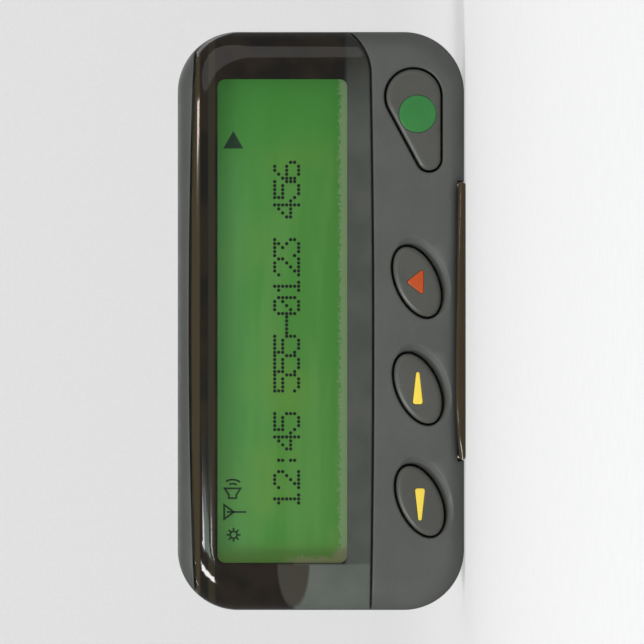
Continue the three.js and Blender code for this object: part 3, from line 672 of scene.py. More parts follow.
def lens_border_with_painted_reflections():
    """Gloss lens over its printed brown-black border, which shows above and at the ends; the grey below is a
    painted reflection.
    """
    made, tree, shader, place = new_material("lens_border_with_painted_reflections")
    split = add(tree, "SeparateXYZ", Vector=place)
    x, z = split.outputs["X"], split.outputs["Z"]
    level = at_height(VIEW_LOW)
    # Painted reflection: the grey margin below the display fades to dark at the right-hand end and climbs at
    # the left.
    below = between(tree, z, level - 0.2 * MM, level + 0.6 * MM, 1, 0)
    right = between(tree, x, 31 * MM, 40 * MM, 1, 0.25)
    reflected_margin = product(tree, below, right)
    left = between(tree, x, -36.2 * MM, -35.7 * MM, 1, 0)
    climb = between(tree, z, at_height(25.0), at_height(25.7), 1, 0)
    corner = product(tree, left, climb)
    # Painted reflection too: a soft tongue of middle grey between the two at the left-hand end.
    centre = (-VIEW_HALF * MM, 0.0, at_height(TONGUE_Z))
    stretch = (1 / (TONGUE_HALF[0] * MM), 0.0, 1 / (TONGUE_HALF[1] * MM))
    reach = reach_from(tree, place, centre, stretch)
    reflected_tongue = product(tree, between(tree, reach, 0.88, 1.05, 1, 0), left)
    cloud = noise(tree, place, 5.0, 3.0)
    dark = mix(tree, between(tree, cloud, 0.35, 0.65, 0, 1), colour(24, 22, 18), colour(38, 31, 23))
    # Two olive bands of painted reflection along the top bevel: a faint one over the display, a stronger one
    # at the seam.
    rising = between(tree, z, at_height(36.8), at_height(37.1), 0, 1)
    falling = between(tree, z, at_height(37.8), at_height(38.1), 1, 0)
    faint = product(tree, rising, falling)
    strong = between(tree, z, at_height(39.0), at_height(39.4), 0, 1)
    reflection_banded = mix(tree, strong, mix(tree, faint, dark, colour(47, 44, 32)), colour(66, 58, 41))
    patchy = between(tree, cloud, 0.3, 0.7, 0, 1)
    margined = mix(tree, reflected_margin, reflection_banded, mix(tree, patchy, colour(72, 77, 72), colour(82, 85, 80)))
    greyed = mix(tree, corner, margined, mix(tree, patchy, colour(88, 94, 88), colour(96, 101, 95)))
    tree.links.new(mix(tree, reflected_tongue, greyed, colour(64, 62, 54)), shader.inputs["Base Color"])
    shader.inputs["Roughness"].default_value = 0.09
    shader.inputs["Coat Weight"].default_value = 0.5
    shader.inputs["Coat Roughness"].default_value = 0.03
    return made


def lens_clear():
    """The clear part of the lens: what is behind it, under a gloss that grows at grazing angles."""
    made = bpy.data.materials.new("lens_clear")
    made.use_nodes = True
    tree = made.node_tree
    tree.nodes.clear()
    out = add(tree, "OutputMaterial")
    # The same share of gloss from either side: a Fresnel node would turn the inner face opaque.
    facing = add(tree, "LayerWeight", Blend=0.5).outputs["Facing"]
    steep = add(tree, "Math", {"operation": "POWER"}, _0=facing, _1=5.0).outputs[0]
    fresnel = scaled_sum(tree, steep, 0.96, 0.035)
    clear = add(tree, "BsdfTransparent", Color=(0.93, 0.95, 0.92, 1)).outputs[0]
    gloss = add(tree, "BsdfGlossy", Color=(1, 1, 1, 1), Roughness=0.05).outputs[0]
    both = add(tree, "MixShader", Fac=fresnel, _1=clear, _2=gloss)
    tree.links.new(both.outputs[0], out.inputs["Surface"])
    return made


def display_glow():
    """Backlit liquid crystal: uneven green with soft streaks along the display."""
    made, tree, shader, place = new_material("display_glow")
    split = add(tree, "SeparateXYZ", Vector=place)
    x, z = split.outputs["X"], split.outputs["Z"]
    streaked = add(tree, "Mapping", Vector=place, Scale=(0.12, 1, 1)).outputs["Vector"]
    streaks = noise(tree, streaked, 2.6, 3.0)
    blotch = noise(tree, place, 14.0, 2.0)
    base = mix(tree, between(tree, streaks, 0.35, 0.65, 0, 1), colour(70, 128, 55), colour(83, 134, 66))
    warm = mix(tree, between(tree, blotch, 0.45, 0.7, 0, 0.6), base, colour(98, 136, 58))
    top = between(tree, z, at_height(27), at_height(36), 0, 0.55)
    cool = mix(tree, top, warm, colour(84, 142, 84))
    right = between(tree, x, 14 * MM, 34 * MM, 0, 0.85)
    deep = mix(tree, right, cool, colour(58, 124, 50))
    rim = between(tree, x, -35.9 * MM, -32 * MM, 0.75, 0)
    olive = mix(tree, rim, deep, colour(92, 124, 56))
    # A pale ragged fringe along the lower edge, and a beige one round the lower left-hand corner.
    grain = noise(tree, place, 0.4, 2.0)
    ragged = scaled_sum(tree, grain, 1.8 * MM, z)
    fringe = between(tree, ragged, at_height(VIEW_LOW + 1.7), at_height(VIEW_LOW + 2.3), 0.85, 0)
    fringed = mix(tree, fringe, olive, colour(124, 144, 110))
    edge = scaled_sum(tree, grain, 1.6 * MM, x)
    side = between(tree, edge, (-VIEW_HALF + 1.2) * MM, (-VIEW_HALF + 1.9) * MM, 0.8, 0)
    low_half = between(tree, z, at_height(24), at_height(28), 1, 0)
    beige = product(tree, side, low_half)
    corner = (-VIEW_HALF * MM, 0.0, at_height(VIEW_LOW))
    away = reach_from(tree, place, corner, (1.0, 0.0, 1.0))
    patch = between(tree, away, 1.6 * MM, 3.0 * MM, 0.8, 0)
    spread = larger(tree, beige, patch)
    final = mix(tree, spread, fringed, colour(132, 130, 100))
    tree.links.new(final, shader.inputs["Base Color"])
    tree.links.new(final, shader.inputs["Emission Color"])
    shader.inputs["Emission Strength"].default_value = 0.36
    shader.inputs["Roughness"].default_value = 0.45
    shader.inputs["Specular IOR Level"].default_value = 0.2
    return made


housing_plastic = moulded("housing_plastic", colour(88, 90, 87), 0.44, depth=0.02, spread=0.07, gloss=0.45)
key_plastic = moulded("key_plastic", colour(84, 85, 80), 0.32, grain=0.18, depth=0.01, gloss=0.5)
# The holder's brown base colour is a painted reflection of warm surroundings on its glossy black plastic.
holder_plastic = moulded("holder_plastic", colour(66, 55, 37), 0.14, depth=0.0, spread=0.1, coat=0.6)
clip_plastic = moulded("clip_plastic", colour(38, 38, 37), 0.42, depth=0.03)
yellow_ink = moulded("yellow_inlay", colour(250, 221, 80), 0.35, depth=0.0, spread=0.05)
red_ink = moulded("red_inlay", colour(192, 75, 14), 0.35, depth=0.0, spread=0.08)
green_ink = moulded("green_inlay", colour(52, 128, 62), 0.35, depth=0.0, spread=0.08)
symbol_ink = moulded("symbol_ink", colour(30, 66, 42), 0.5, depth=0.0)
dot_ink = moulded("dot_ink", colour(12, 16, 12), 0.5, depth=0.0)
black_plastic = moulded("black_plastic", colour(30, 30, 30), 0.5)
grey_silicone = moulded("grey_silicone", colour(120, 121, 120), 0.7, grain=0.5, gloss=0.3)
bright_steel = metal("bright_steel", (0.62, 0.63, 0.65, 1), 0.28)
spring_steel = metal("spring_steel", (0.68, 0.68, 0.68, 1), 0.22, 0.08)
dark_steel = metal("dark_steel", (0.3, 0.3, 0.31, 1), 0.32)
lens_materials = [lens_border_with_painted_reflections(), lens_clear()]

# ------------------------------------------------------------------ front housing

key_outlines = {name: oval(*centre) for name, centre in KEY_CENTRES.items()}
key_outlines["read"] = teardrop()


def scoop_depth(x, z):
    """Finger scoops: slopes with a crisp outer edge, low and to the right of each oval key."""
    depth = np.zeros(len(x))
    for key_x, key_z in KEY_CENTRES.values():
        inward = -distance_to(scoop_outline(key_x, key_z), x, z)
        depth = np.maximum(depth, np.clip(SCOOP["slope"] * inward, 0, SCOOP["depth"]))
    return depth


def scoop_outline(key_x, key_z, grow=0.0):
    return oval(key_x + SCOOP["right"], key_z - SCOOP["down"], -SCOOP["grow"] - grow)


def housing_face(x, z):
    y = face_y(x, z) + scoop_depth(x, z)
    for outline in key_outlines.values():
        y += rim_drop(distance_to(outline, x, z), KEY_RIM)
    away = window_distance(x, z)
    inset = edge_inset(x, z)
    recess = np.interp(inset, [1.2, 1.22, 2.2, 2.22], [WRAP_BACK, -6.9, -6.9, RECESS_FLOOR])
    return np.where(away > -STEEP / 2, y + rim_drop(away, SEAM_RIM), np.maximum(y, recess))


def housing_inside(x, z):
    rim = (body_distance(x, z) > -WALL - STEEP / 2) | (z < 1.9)
    return np.where(rim, PARTING - SEAM / 2, CAVITY_FRONT)


def in_aperture(x, z):
    s = APERTURE_SPREAD
    return box_distance(x, z, -VIEW_HALF - s, VIEW_HALF + s, VIEW_LOW - s, VIEW_TOP + s, 1.0) < 0


def build_front_housing():
    plan = Plan()
    for inset in ring_steps(EDGE, 13):
        plan.add(body_ring(inset))
    for inset in (WALL, WALL + STEEP):
        plan.add(body_outline(inset))
    for inset in (1.2, 1.22, 2.2, 2.22):
        plan.add(body_ring(inset))
    for share in RIM_SHARES:
        for curve in window_lines(share * SEAM_RIM):
            plan.add(curve, closed=False)
    for curve in window_lines(-STEEP):
        plan.add(curve, closed=False)
    for outline in key_outlines.values():
        for share in RIM_SHARES:
            plan.add(offset(outline, share * KEY_RIM))
    for centre in KEY_CENTRES.values():
        for grow in (0.0, -0.12, -0.5, -1.0, -1.5):
            plan.add(scoop_outline(*centre, grow))
    s = APERTURE_SPREAD
    plan.add(rounded(-VIEW_HALF - s, VIEW_HALF + s, VIEW_LOW - s, VIEW_TOP + s, 1.0, 2.0))
    plan.add(foot_edge(), closed=False)

    def clear(x, z):
        free = (body_distance(x, z) < -EDGE) & ((z < WINDOW_LOW - 1) | (z > window_top(x)))
        for outline in key_outlines.values():
            free &= distance_to(outline, x, z) > KEY_RIM + 0.2
        return free

    plan.scatter(-42, 42, 2.6, 13.2, 0.45, clear)

    def keep(x, z):
        solid = (body_distance(x, z) < 0) & ~in_aperture(x, z) & ~in_foot(x, z)
        for outline in key_outlines.values():
            solid &= distance_to(outline, x, z) > 0
        return solid

    return plate_mesh("front_casing", plan, keep, housing_face, housing_inside)


stand_for(build_front_housing(), "pager", "housing_plastic", housing_plastic, "front_housing")

# ------------------------------------------------------------------ window lens


def lens_face(x, z):
    inner = -window_distance(x, z) - LENS_GAP
    rise = np.clip((z - LENS_ROLL_START) / (window_top(x) - LENS_ROLL_START), 0, 1)
    face = face_y(x, z) + LENS_ROLL * rise**2 + rim_drop(inner, LENS_RIM)
    return np.minimum(face, lens_back(x, z) - LENS_LEAST)


def lens_back(x, z):
    return np.interp(edge_inset(x, z), LENS_STEPS, [-5.8, -7.15, -7.2, -8.0])


def build_lens():
    plan = Plan()
    for inset in [0.2, *ring_steps(EDGE, 17)[1:]]:
        plan.add(body_ring(max(inset, 0.2)))
    for inset in LENS_STEPS:
        plan.add(body_ring(inset))
    for share in RIM_SHARES:
        for curve in window_lines(-LENS_GAP - share * LENS_RIM):
            plan.add(curve, closed=False)
    for step in np.arange(0.7, 3.4, 0.3):
        x = np.linspace(-SEAM_END, SEAM_END, 100)
        plan.add(np.column_stack([x, window_top(x) - step]), closed=False)
    view = (-VIEW_HALF, VIEW_HALF, VIEW_LOW, VIEW_TOP, 1.1)
    plan.add(rounded(*view, 1.5))

    def keep(x, z):
        return (window_distance(x, z) < -LENS_GAP) & (edge_inset(x, z) > 0.2)

    def clear_area(x, z):
        return box_distance(x, z, *view) < 0

    return plate_mesh("display_lens", plan, keep, lens_face, lens_back, clear_area)


stand_for(build_lens(), "pager", "window_plastic", lens_materials, "display_window", "window_gasket")

# ------------------------------------------------------------------ keys and their marks


def wedge(x, z, way):
    """An arrow of a scroll key: a rounded wedge, wide at its tail and pointing along way."""
    tail_low = arc(-1.98, -0.36, 0.42, 2, 3, 0.1)
    tip = arc(2.15, 0, 0.32, -1, 1, 0.1)
    tail_high = arc(-1.98, 0.36, 0.42, 1, 2, 0.1)
    loop = np.vstack([tail_low, [(-1.98, -0.78)], tip, [(2.15, 0.32)], tail_high])
    if way < 0:
        loop = (loop * (-1, 1))[::-1]
    return loop + (x, z)


def triangle(x, z):
    """An upward triangle with rounded corners."""
    r = 0.34
    low, high, half = -0.98 + r, 1.5 - r, 1.75 - r
    lean = math.atan2(high - low, half) / (math.pi / 2)
    loop = np.vstack(
        [
            arc(-half, low, r, 1 + lean, 3, 0.1),
            arc(half, low, r, 3, 5 - lean, 0.1),
            arc(0, high, r, 1 - lean, 1 + lean, 0.1),
        ]
    )
    return loop + (x, z)


def build_key(name, outline, mark, ink, slot):
    cap = offset(outline, -KEY_GAP)
    centre = outline.mean(0)
    span = np.abs(outline - centre).max()

    def top(x, z):
        inner = -distance_to(cap, x, z)
        bulge = KEY_DOME * (1 - np.clip(np.hypot(x - centre[0], z - centre[1]) / span, 0, 1) ** 2)
        edge = quarter_round(np.maximum(inner, 0), KEY_ROUND, KEY_ROUND_DROP)
        return FRONT - KEY_PROUD + 0.1 - bulge + edge

    def pocketed(x, z):
        away = distance_to(mark, x, z)
        sunk = np.where(away > -STEEP / 2, rim_drop(away, MARK_RIM), MARK_DEPTH)
        return top(x, z) + sunk

    plan = Plan()
    for inset in ring_steps(KEY_ROUND, 9):
        plan.add(offset(cap, -inset))
    for share in RIM_SHARES:
        plan.add(offset(mark, share * MARK_RIM))
    plan.add(offset(mark, -STEEP))

    def clear(x, z):
        return (distance_to(cap, x, z) < -KEY_ROUND - 0.1) & (np.abs(distance_to(mark, x, z)) > 0.15)

    x0, z0 = cap.min(0)
    x1, z1 = cap.max(0)
    plan.scatter(x0, x1, z0, z1, 0.4, clear)
    key = plate_mesh(
        f"{name}_cap", plan, lambda x, z: distance_to(cap, x, z) < 0, pocketed, lambda x, z: x * 0 + KEY_BACK
    )
    stand_for(key, name, "key_plastic", key_plastic, name)

    inlay = offset(mark, -0.05)
    plan = Plan()
    for inset in (0.0, 0.02, 0.06, 0.12, 0.2):
        plan.add(offset(inlay, -inset))

    def inlay_top(x, z):
        edge = np.maximum(-distance_to(inlay, x, z), 0)
        return top(x, z) - 0.03 + quarter_round(edge, 0.2, 0.12)

    piece = plate_mesh(
        name.replace("key", "inlay"),
        plan,
        lambda x, z: distance_to(inlay, x, z) < 0,
        inlay_top,
        lambda x, z: top(x, z) + MARK_DEPTH - 0.01,
    )
    stand_for(piece, name, slot, ink, name.replace("key", "mark"))


marks = {
    "left": (wedge(*MARK_CENTRES["left"], -1), yellow_ink, "yellow_mark"),
    "right": (wedge(*MARK_CENTRES["right"], 1), yellow_ink, "yellow_mark"),
    "select": (triangle(*MARK_CENTRES["select"]), red_ink, "red_mark"),
    "read": (arc(*DISC, 0, 4, 0.3), green_ink, "green_mark"),
}
for which, (key_mark, key_ink, mark_slot) in marks.items():
    build_key(f"key_{which}", key_outlines[which], key_mark, key_ink, mark_slot)

# ------------------------------------------------------------------ what the display shows

MESSAGE = "12:45 555-0123 456"
# Five by seven dot matrix digits, a row to each number, the top row first.
DOT_ROWS = {
    "0": (14, 17, 19, 21, 25, 17, 14),
    "1": (4, 12, 4, 4, 4, 4, 14),
    "2": (14, 17, 1, 2, 4, 8, 31),
    "3": (31, 2, 4, 2, 1, 17, 14),
    "4": (2, 6, 10, 18, 31, 2, 2),
    "5": (31, 16, 30, 1, 1, 17, 14),
    "6": (6, 8, 16, 30, 17, 17, 14),
    ":": (0, 4, 4, 0, 4, 4, 0),
    "-": (0, 0, 0, 31, 0, 0, 0),
}


class Flat:
    """Thin flat pieces lying on the display, gathered into one mesh."""

    def __init__(self):
        self.verts, self.faces = [], []

    def add(self, loop):
        """A flat piece with a closed anticlockwise outline."""
        first, count = len(self.verts), len(loop)
        for y in (LCD_FRONT - INK_THICK, LCD_FRONT + INK_THICK):
            self.verts += [(x, y, z) for x, z in loop]
        self.faces.append([first + i for i in range(count)])
        self.faces.append([first + count + i for i in reversed(range(count))])
        for i in range(count):
            j = (i + 1) % count
            self.faces.append([first + j, first + i, first + count + i, first + count + j])

    def stroke(self, points, width, closed=False):
        """A line of even width through points."""
        points = np.array(points, float)
        ahead = np.roll(points, -1, 0) - points
        behind = points - np.roll(points, 1, 0)
        if not closed:
            ahead[-1], behind[0] = behind[-1], ahead[0]
        ahead /= np.linalg.norm(ahead, axis=1)[:, None]
        behind /= np.linalg.norm(behind, axis=1)[:, None]
        normal = ahead + behind
        normal = np.column_stack([normal[:, 1], -normal[:, 0]])
        normal /= np.linalg.norm(normal, axis=1)[:, None]
        reach = width / 2 / np.clip((normal * np.column_stack([ahead[:, 1], -ahead[:, 0]])).sum(1), 0.4, 1)
        outer, inner = points + normal * reach[:, None], points - normal * reach[:, None]
        last = len(points) if closed else len(points) - 1
        for i in range(last):
            j = (i + 1) % len(points)
            self.add([outer[i], outer[j], inner[j], inner[i]])

    def piece(self, name):
        return mesh_object(name, self.verts, self.faces, 30)


def build_characters():
    flat = Flat()
    for place, letter in enumerate(MESSAGE):
        for row, bits in enumerate(DOT_ROWS.get(letter, ())):
            for column in range(5):
                if bits >> (4 - column) & 1:
                    x = TEXT_START + place * CHARACTER_PITCH + column * DOT_PITCH
                    flat.add(arc(x, TEXT_LOW + (6 - row) * DOT_PITCH, DOT_RADIUS, 0, 4, 0.13))
    return flat.piece("display_characters")


def build_symbols():
    flat = Flat()
    # A sun: a ring with eight rays.
    x, z = -31.75, 34.25
    flat.stroke(arc(x, z, 0.52, 0, 4, 0.2), SYMBOL_STROKE, closed=True)
    for ray in range(8):
        a = ray * math.pi / 4
        way = np.array([math.cos(a), math.sin(a)])
        flat.stroke([(x, z) + way * 0.62, (x, z) + way * 1.05], SYMBOL_STROKE)
    # An aerial: a mast under a triangle.
    x, z = -28.35, 35.65
    flat.stroke([(x, z - 3.3), (x, z - 0.4)], SYMBOL_STROKE)
    flat.stroke([(x - 1.05, z), (x + 1.05, z), (x, z - 1.45)], SYMBOL_STROKE, closed=True)
    # A speaker with two sound waves.
    x, z = -26.3, 34.4
    horn = [(0, -0.55), (0, 0.55), (0.5, 0.55), (1.45, 1.2), (1.45, -1.2), (0.5, -0.55)]
    flat.stroke([(x + dx, z + dz) for dx, dz in horn], SYMBOL_STROKE, closed=True)
    flat.stroke(arc(x + 0.9, z, 1.25, -0.35, 0.36, 0.2), SYMBOL_STROKE)
    flat.stroke(arc(x + 0.9, z, 1.85, -0.42, 0.43, 0.2), SYMBOL_STROKE)
    # A pointer at the far end.
    x, z = 25.6, 34.3
    flat.add([(x, z - 1.5), (x + 2.6, z), (x, z + 1.5)])
    return flat.piece("display_symbols")


stand_for(build_characters(), "pager", "display", dot_ink)
stand_for(build_symbols(), "pager", "display", symbol_ink)
nodes["lcd_panel"].data.materials.clear()
nodes["lcd_panel"].data.materials.append(display_glow())

# ------------------------------------------------------------------ rear housing


slot_rows = [SOUND_Z + (i - (SOUND_SLOTS - 1) / 2) * SOUND_PITCH for i in range(SOUND_SLOTS)]
door_box = (DOOR_X - DOOR_GAP, FAR, DOOR_LOW - DOOR_GAP, DOOR_TOP + DOOR_GAP)
groove_box = (-RIB_HALF - SEAM, RIB_HALF + SEAM, -FAR, RIB_TOP + SEAM)
tub_box = (BAY[0] - TUB_WALL, BAY[1] + TUB_WALL, BAY[2] - TUB_WALL, BAY[3] + TUB_WALL)


def screw_distance(x, z):
    return np.min([np.hypot(x - sx, z - sz) for sx, sz in SCREWS], axis=0)


def slot_distance(x, z):
    ends = np.maximum(np.abs(x - SOUND_X) - SOUND_HALF + SOUND_WIDTH / 2, 0)
    return np.min([np.hypot(ends, z - row) for row in slot_rows], axis=0) - SOUND_WIDTH / 2


def rear_face(x, z):
    door = box_distance(x, z, *door_box)
    groove = box_distance(x, z, *groove_box)
    head = screw_distance(x, z) - HEAD_ROOM
    y = back_y(x, z)
    for away, radius in ((door, 0.2), (groove, 0.25), (head, 0.2), (slot_distance(x, z), 0.25)):
        y = y - rim_drop(away, radius)
    inner = -STEEP / 2
    y = np.where(door < inner, np.minimum(y, DOOR_FRONT - DOOR_GAP), y)
    y = np.where(groove < inner, np.minimum(y, RIB_FRONT - SEAM), y)
    return np.where(head < inner, np.minimum(y, BACK - HEAD_DEPTH), y)


def rear_inside(x, z):
    wall = (body_distance(x, z) > -WALL - STEEP / 2) | (z < 1.9)
    y = np.where(wall, PARTING + SEAM / 2, CAVITY_BACK)
    tub = (box_distance(x, z, *tub_box) < 0) & (body_distance(x, z) < -WALL - SEAM)
    y = np.where(tub, np.minimum(y, BAY_FRONT), y)
    boss = (screw_distance(x, z) < BOSS) & (body_distance(x, z) < -WALL - SEAM)
    return np.where(boss, np.minimum(y, BOARD_BACK + 0.05), y)


def doubled(plan, curve_at):
    """A curve and its copy a hair inside, where the surface steps."""
    plan.add(curve_at(0.0))
    plan.add(curve_at(-STEEP))


def build_rear_housing():
    plan = Plan()
    for inset in ring_steps(BACK_EDGE, 10):
        plan.add(body_ring(inset))
    for inset in (WALL, WALL + STEEP, WALL + SEAM, WALL + SEAM + STEEP):
        plan.add(body_outline(inset))
    x0, _, z0, z1 = door_box
    for grow in (0.2, 0.1, 0.05, 0.02, 0.0, -STEEP):
        left, low, high = x0 - grow, z0 - grow, z1 + grow
        edge = [(SEAM_END, low), (left, low), (left, high), (SEAM_END, high)]
        plan.add(open_path(edge), closed=False)
        half, top = RIB_HALF + SEAM + grow, RIB_TOP + SEAM + grow
        edge = [(-half, -1), (-half, top), (half, top), (half, -1)]
        plan.add(open_path(edge), closed=False)
        for sx, sz in SCREWS:
            plan.add(arc(sx, sz, HEAD_ROOM + grow, 0, 4))
    for grow in (0.25, 0.12, 0.05, 0.02, 0.0):
        for row in slot_rows:
            end, half = SOUND_HALF + grow, SOUND_WIDTH / 2 + grow
            plan.add(rounded(SOUND_X - end, SOUND_X + end, row - half, row + half, half - 0.001, 0.6))
    for sx, sz in SCREWS:
        plan.add(arc(sx, sz, BORE, 0, 4, 0.3))
        doubled(plan, lambda grow: arc(sx, sz, BOSS + grow, 0, 4))
    doubled(plan, lambda grow: rounded(BAY[0] - grow, BAY[1] + grow, BAY[2] - grow, BAY[3] + grow, 0.3, 2))
    t = tub_box
    doubled(plan, lambda grow: rounded(t[0] - grow, t[1] + grow, t[2] - grow, t[3] + grow, 0.3, 2))
    plan.add(foot_edge(), closed=False)

    def keep(x, z):
        solid = (body_distance(x, z) < 0) & ~in_foot(x, z) & (box_distance(x, z, *BAY) > -STEEP / 2)
        return solid & (screw_distance(x, z) > BORE) & (slot_distance(x, z) > 0)

    return plate_mesh("rear_casing", plan, keep, rear_face, rear_inside)


stand_for(build_rear_housing(), "pager", "housing_plastic", housing_plastic, "rear_housing")

# ------------------------------------------------------------------ battery door and screws


def grip_distance(x, z):
    over = np.maximum(np.abs(z - (GRIP_LOW + GRIP_TOP) / 2) - (GRIP_TOP - GRIP_LOW) / 2, 0)
    rows = [GRIP_X + GRIP_HALF + i * GRIP_PITCH for i in range(GRIP_COUNT)]
    return np.min([np.hypot(x - row, over) for row in rows], axis=0)


def build_battery_door():
    edge = (DOOR_X, FAR, DOOR_LOW, DOOR_TOP)
    arrow = np.array(ARROW)

    def inside(x, z):
        return (box_distance(x, z, *edge) < 0) & (edge_inset(x, z) > 0.46)

    def face(x, z):
        groove = np.clip(1 - (grip_distance(x, z) / GRIP_HALF) ** 2, 0, 1) * GRIP_DEPTH
        rim = quarter_round(np.maximum(-box_distance(x, z, *edge), 0), DOOR_RIM, DOOR_RIM)
        cut = np.where(distance_to(arrow, x, z) < -STEEP / 2, 0.2, 0)
        return np.maximum(back_y(x, z) - groove - rim - cut, DOOR_FRONT + DOOR_LEAST)

    plan = Plan()
    for inset in [0.46, *[r for r in ring_steps(BACK_EDGE, 12) if r > 0.5]]:
        plan.add(body_ring(inset))
    for share in RIM_SHARES:
        inset = share * DOOR_RIM
        x0, z0, z1 = DOOR_X + inset, DOOR_LOW + inset, DOOR_TOP - inset
        edge_path = open_path([(SEAM_END, z0), (x0, z0), (x0, z1), (SEAM_END, z1)])
        plan.add(edge_path, closed=False)
    for i in range(GRIP_COUNT):
        x = GRIP_X + GRIP_HALF + i * GRIP_PITCH
        for half in (0.45, 0.34, 0.22, 0.1):
            plan.add(rounded(x - half, x + half, GRIP_LOW - half, GRIP_TOP + half, half - 0.001))
    plan.add(arrow)
    plan.add(offset(arrow, -2 * STEEP))
    return plate_mesh("battery_cover", plan, inside, face, lambda x, z: x * 0 + DOOR_FRONT)


def build_screw(index, sx, sz):
    """A domed head with a cross recess, on a round shank."""
    cross_half, cross_width, cross_depth = 0.95, 0.2, 0.45
    head_front, shank_end = BACK - HEAD_DEPTH + 0.03, CAVITY_FRONT + 0.6

    def cross(x, z):
        across, along = np.minimum(abs(x - sx), abs(z - sz)), np.maximum(abs(x - sx), abs(z - sz))
        return np.maximum(across - cross_width, along - cross_half)

    def top(x, z):
        r = np.hypot(x - sx, z - sz)
        dome = BACK - 0.25 - 0.12 * (r / SCREW_HEAD) ** 2 - quarter_round(SCREW_HEAD - r, 0.25, 0.25)
        return np.where(cross(x, z) < -STEEP / 2, dome - cross_depth, dome)

    def under(x, z):
        return np.where(np.hypot(x - sx, z - sz) < 0.8, shank_end, head_front)

    plan = Plan()
    for r in (1.5, 1.48, 1.42, 1.33, 1.25, 0.82, 0.78):
        plan.add(arc(sx, sz, r, 0, 4, 0.15))
    for grow in (0.0, -STEEP):
        a, b = cross_half + grow, cross_width + grow
        plan.add([(sx + x, sz + z) for x, z in ((a, -b), (a, b), (-a, b), (-a, -b))])
        plan.add([(sx + x, sz + z) for x, z in ((b, -a), (b, a), (-b, a), (-b, -a))])
    made = plate_mesh(
        f"casing_screw_{index}", plan, lambda x, z: np.hypot(x - sx, z - sz) < SCREW_HEAD, top, under
    )
    stand_for(made, "pager", "screw_steel", dark_steel, f"housing_screw_{index}")


stand_for(build_battery_door(), "battery_door", "housing_plastic", housing_plastic, "battery_door")
for number, (screw_x, screw_z) in enumerate(SCREWS, 1):
    build_screw(number, screw_x, screw_z)

# ------------------------------------------------------------------ turned and swept pieces


def lathe_mesh(name, profile, y, z, sides=56):
    """A solid of revolution about a line along X; profile runs from axis to axis as x, radius."""
    a = 2 * np.pi * np.arange(sides) / sides
    verts = [(profile[0][0], y, z)]
    for x, r in profile[1:-1]:
        verts += [(x, y + r * math.cos(t), z + r * math.sin(t)) for t in a]
    verts.append((profile[-1][0], y, z))
    faces = [(0, 1 + (k + 1) % sides, 1 + k) for k in range(sides)]
    for ring in range(len(profile) - 3):
        low = 1 + ring * sides
        for k in range(sides):
            j = (k + 1) % sides
            faces.append((low + k, low + j, low + sides + j, low + sides + k))
    last = len(verts) - 1
    low = last - sides
    faces += [(last, low + k, low + (k + 1) % sides) for k in range(sides)]
    return mesh_object(name, verts, faces)


def tube_mesh(name, points, radius, sides=12):
    """Round wire along points, closed at both ends."""
    points = np.array(points, float)
    ahead = np.gradient(points, axis=0)
    ahead /= np.linalg.norm(ahead, axis=1)[:, None]
    side = np.cross(ahead[0], (0.3, 0.5, 0.8))
    verts = []
    for point, way in zip(points, ahead):
        side = side - way * np.dot(side, way)
        side /= np.linalg.norm(side)
        over = np.cross(way, side)
        for k in range(sides):
            t = 2 * math.pi * k / sides
            verts.append(point + radius * (math.cos(t) * side + math.sin(t) * over))
    faces = []
    for ring in range(len(points) - 1):
        low = ring * sides
        for k in range(sides):
            j = (k + 1) % sides
            faces.append((low + k, low + j, low + sides + j, low + sides + k))
    faces.append(tuple(reversed(range(sides))))
    faces.append(tuple(range(len(verts) - sides, len(verts))))
    return mesh_object(name, verts, faces)


def rounded_profile(x0, x1, radius, edge, steps=6):
    """A plain round bar's profile with rounded ends."""
    a = np.linspace(0, math.pi / 2, steps)
    first = [(x0 + edge * (1 - math.cos(t)), radius - edge * (1 - math.sin(t))) for t in a]
    last = [(x1 - (x - x0), r) for x, r in reversed(first)]
    return [(x0, 0), *first, *last, (x1, 0)]


def build_battery():
    """An AAA cell with its crimped end, shoulder and nub."""
    left, right = CELL_X - CELL_HALF, CELL_X + CELL_HALF
    r = CELL_RADIUS
    profile = [
        (left + 0.25, 0), (left + 0.25, 3.9), (left, 4.1), (left, 4.6), (left + 0.15, 5.0), (left + 0.5, r),
        (left + 0.9, r), (right - 1.9, r), (right - 1.5, r - 0.08), (right - 1.15, r - 0.4),
        (right - 1.0, r - 0.9), (right - 1.0, 2.3), (right - 0.95, 1.95), (right - 0.25, 1.85),
        (right - 0.05, 1.7), (right, 1.4), (right, 0),
    ]
    return lathe_mesh("aaa_cell", profile, CELL_Y, CELL_Z)


def cell_jacket():
    """Dark film jacket with a copper-coloured band, bare steel at both ends."""
    made, tree, shader, place = new_material("cell_jacket")
    x = add(tree, "SeparateXYZ", Vector=place).outputs["X"]
    grain = noise(tree, place, 0.8, 3.0)
    film = mix(tree, between(tree, grain, 0.3, 0.7, 0, 1), colour(36, 40, 42), colour(44, 48, 50))
    band = between(tree, x, 24.0 * MM, 24.15 * MM, 0, 1)
    painted = mix(tree, band, film, colour(176, 112, 58))
    right_end = between(tree, x, (CELL_X + CELL_HALF - 1.45) * MM, (CELL_X + CELL_HALF - 1.4) * MM, 0, 1)
    left_end = between(tree, x, (CELL_X - CELL_HALF + 0.42) * MM, (CELL_X - CELL_HALF + 0.47) * MM, 1, 0)
    bare = larger(tree, right_end, left_end)
    tree.links.new(mix(tree, bare, painted, (0.6, 0.6, 0.62, 1)), shader.inputs["Base Color"])
    tree.links.new(bare, shader.inputs["Metallic"])
    shader.inputs["Roughness"].default_value = 0.28
    return made


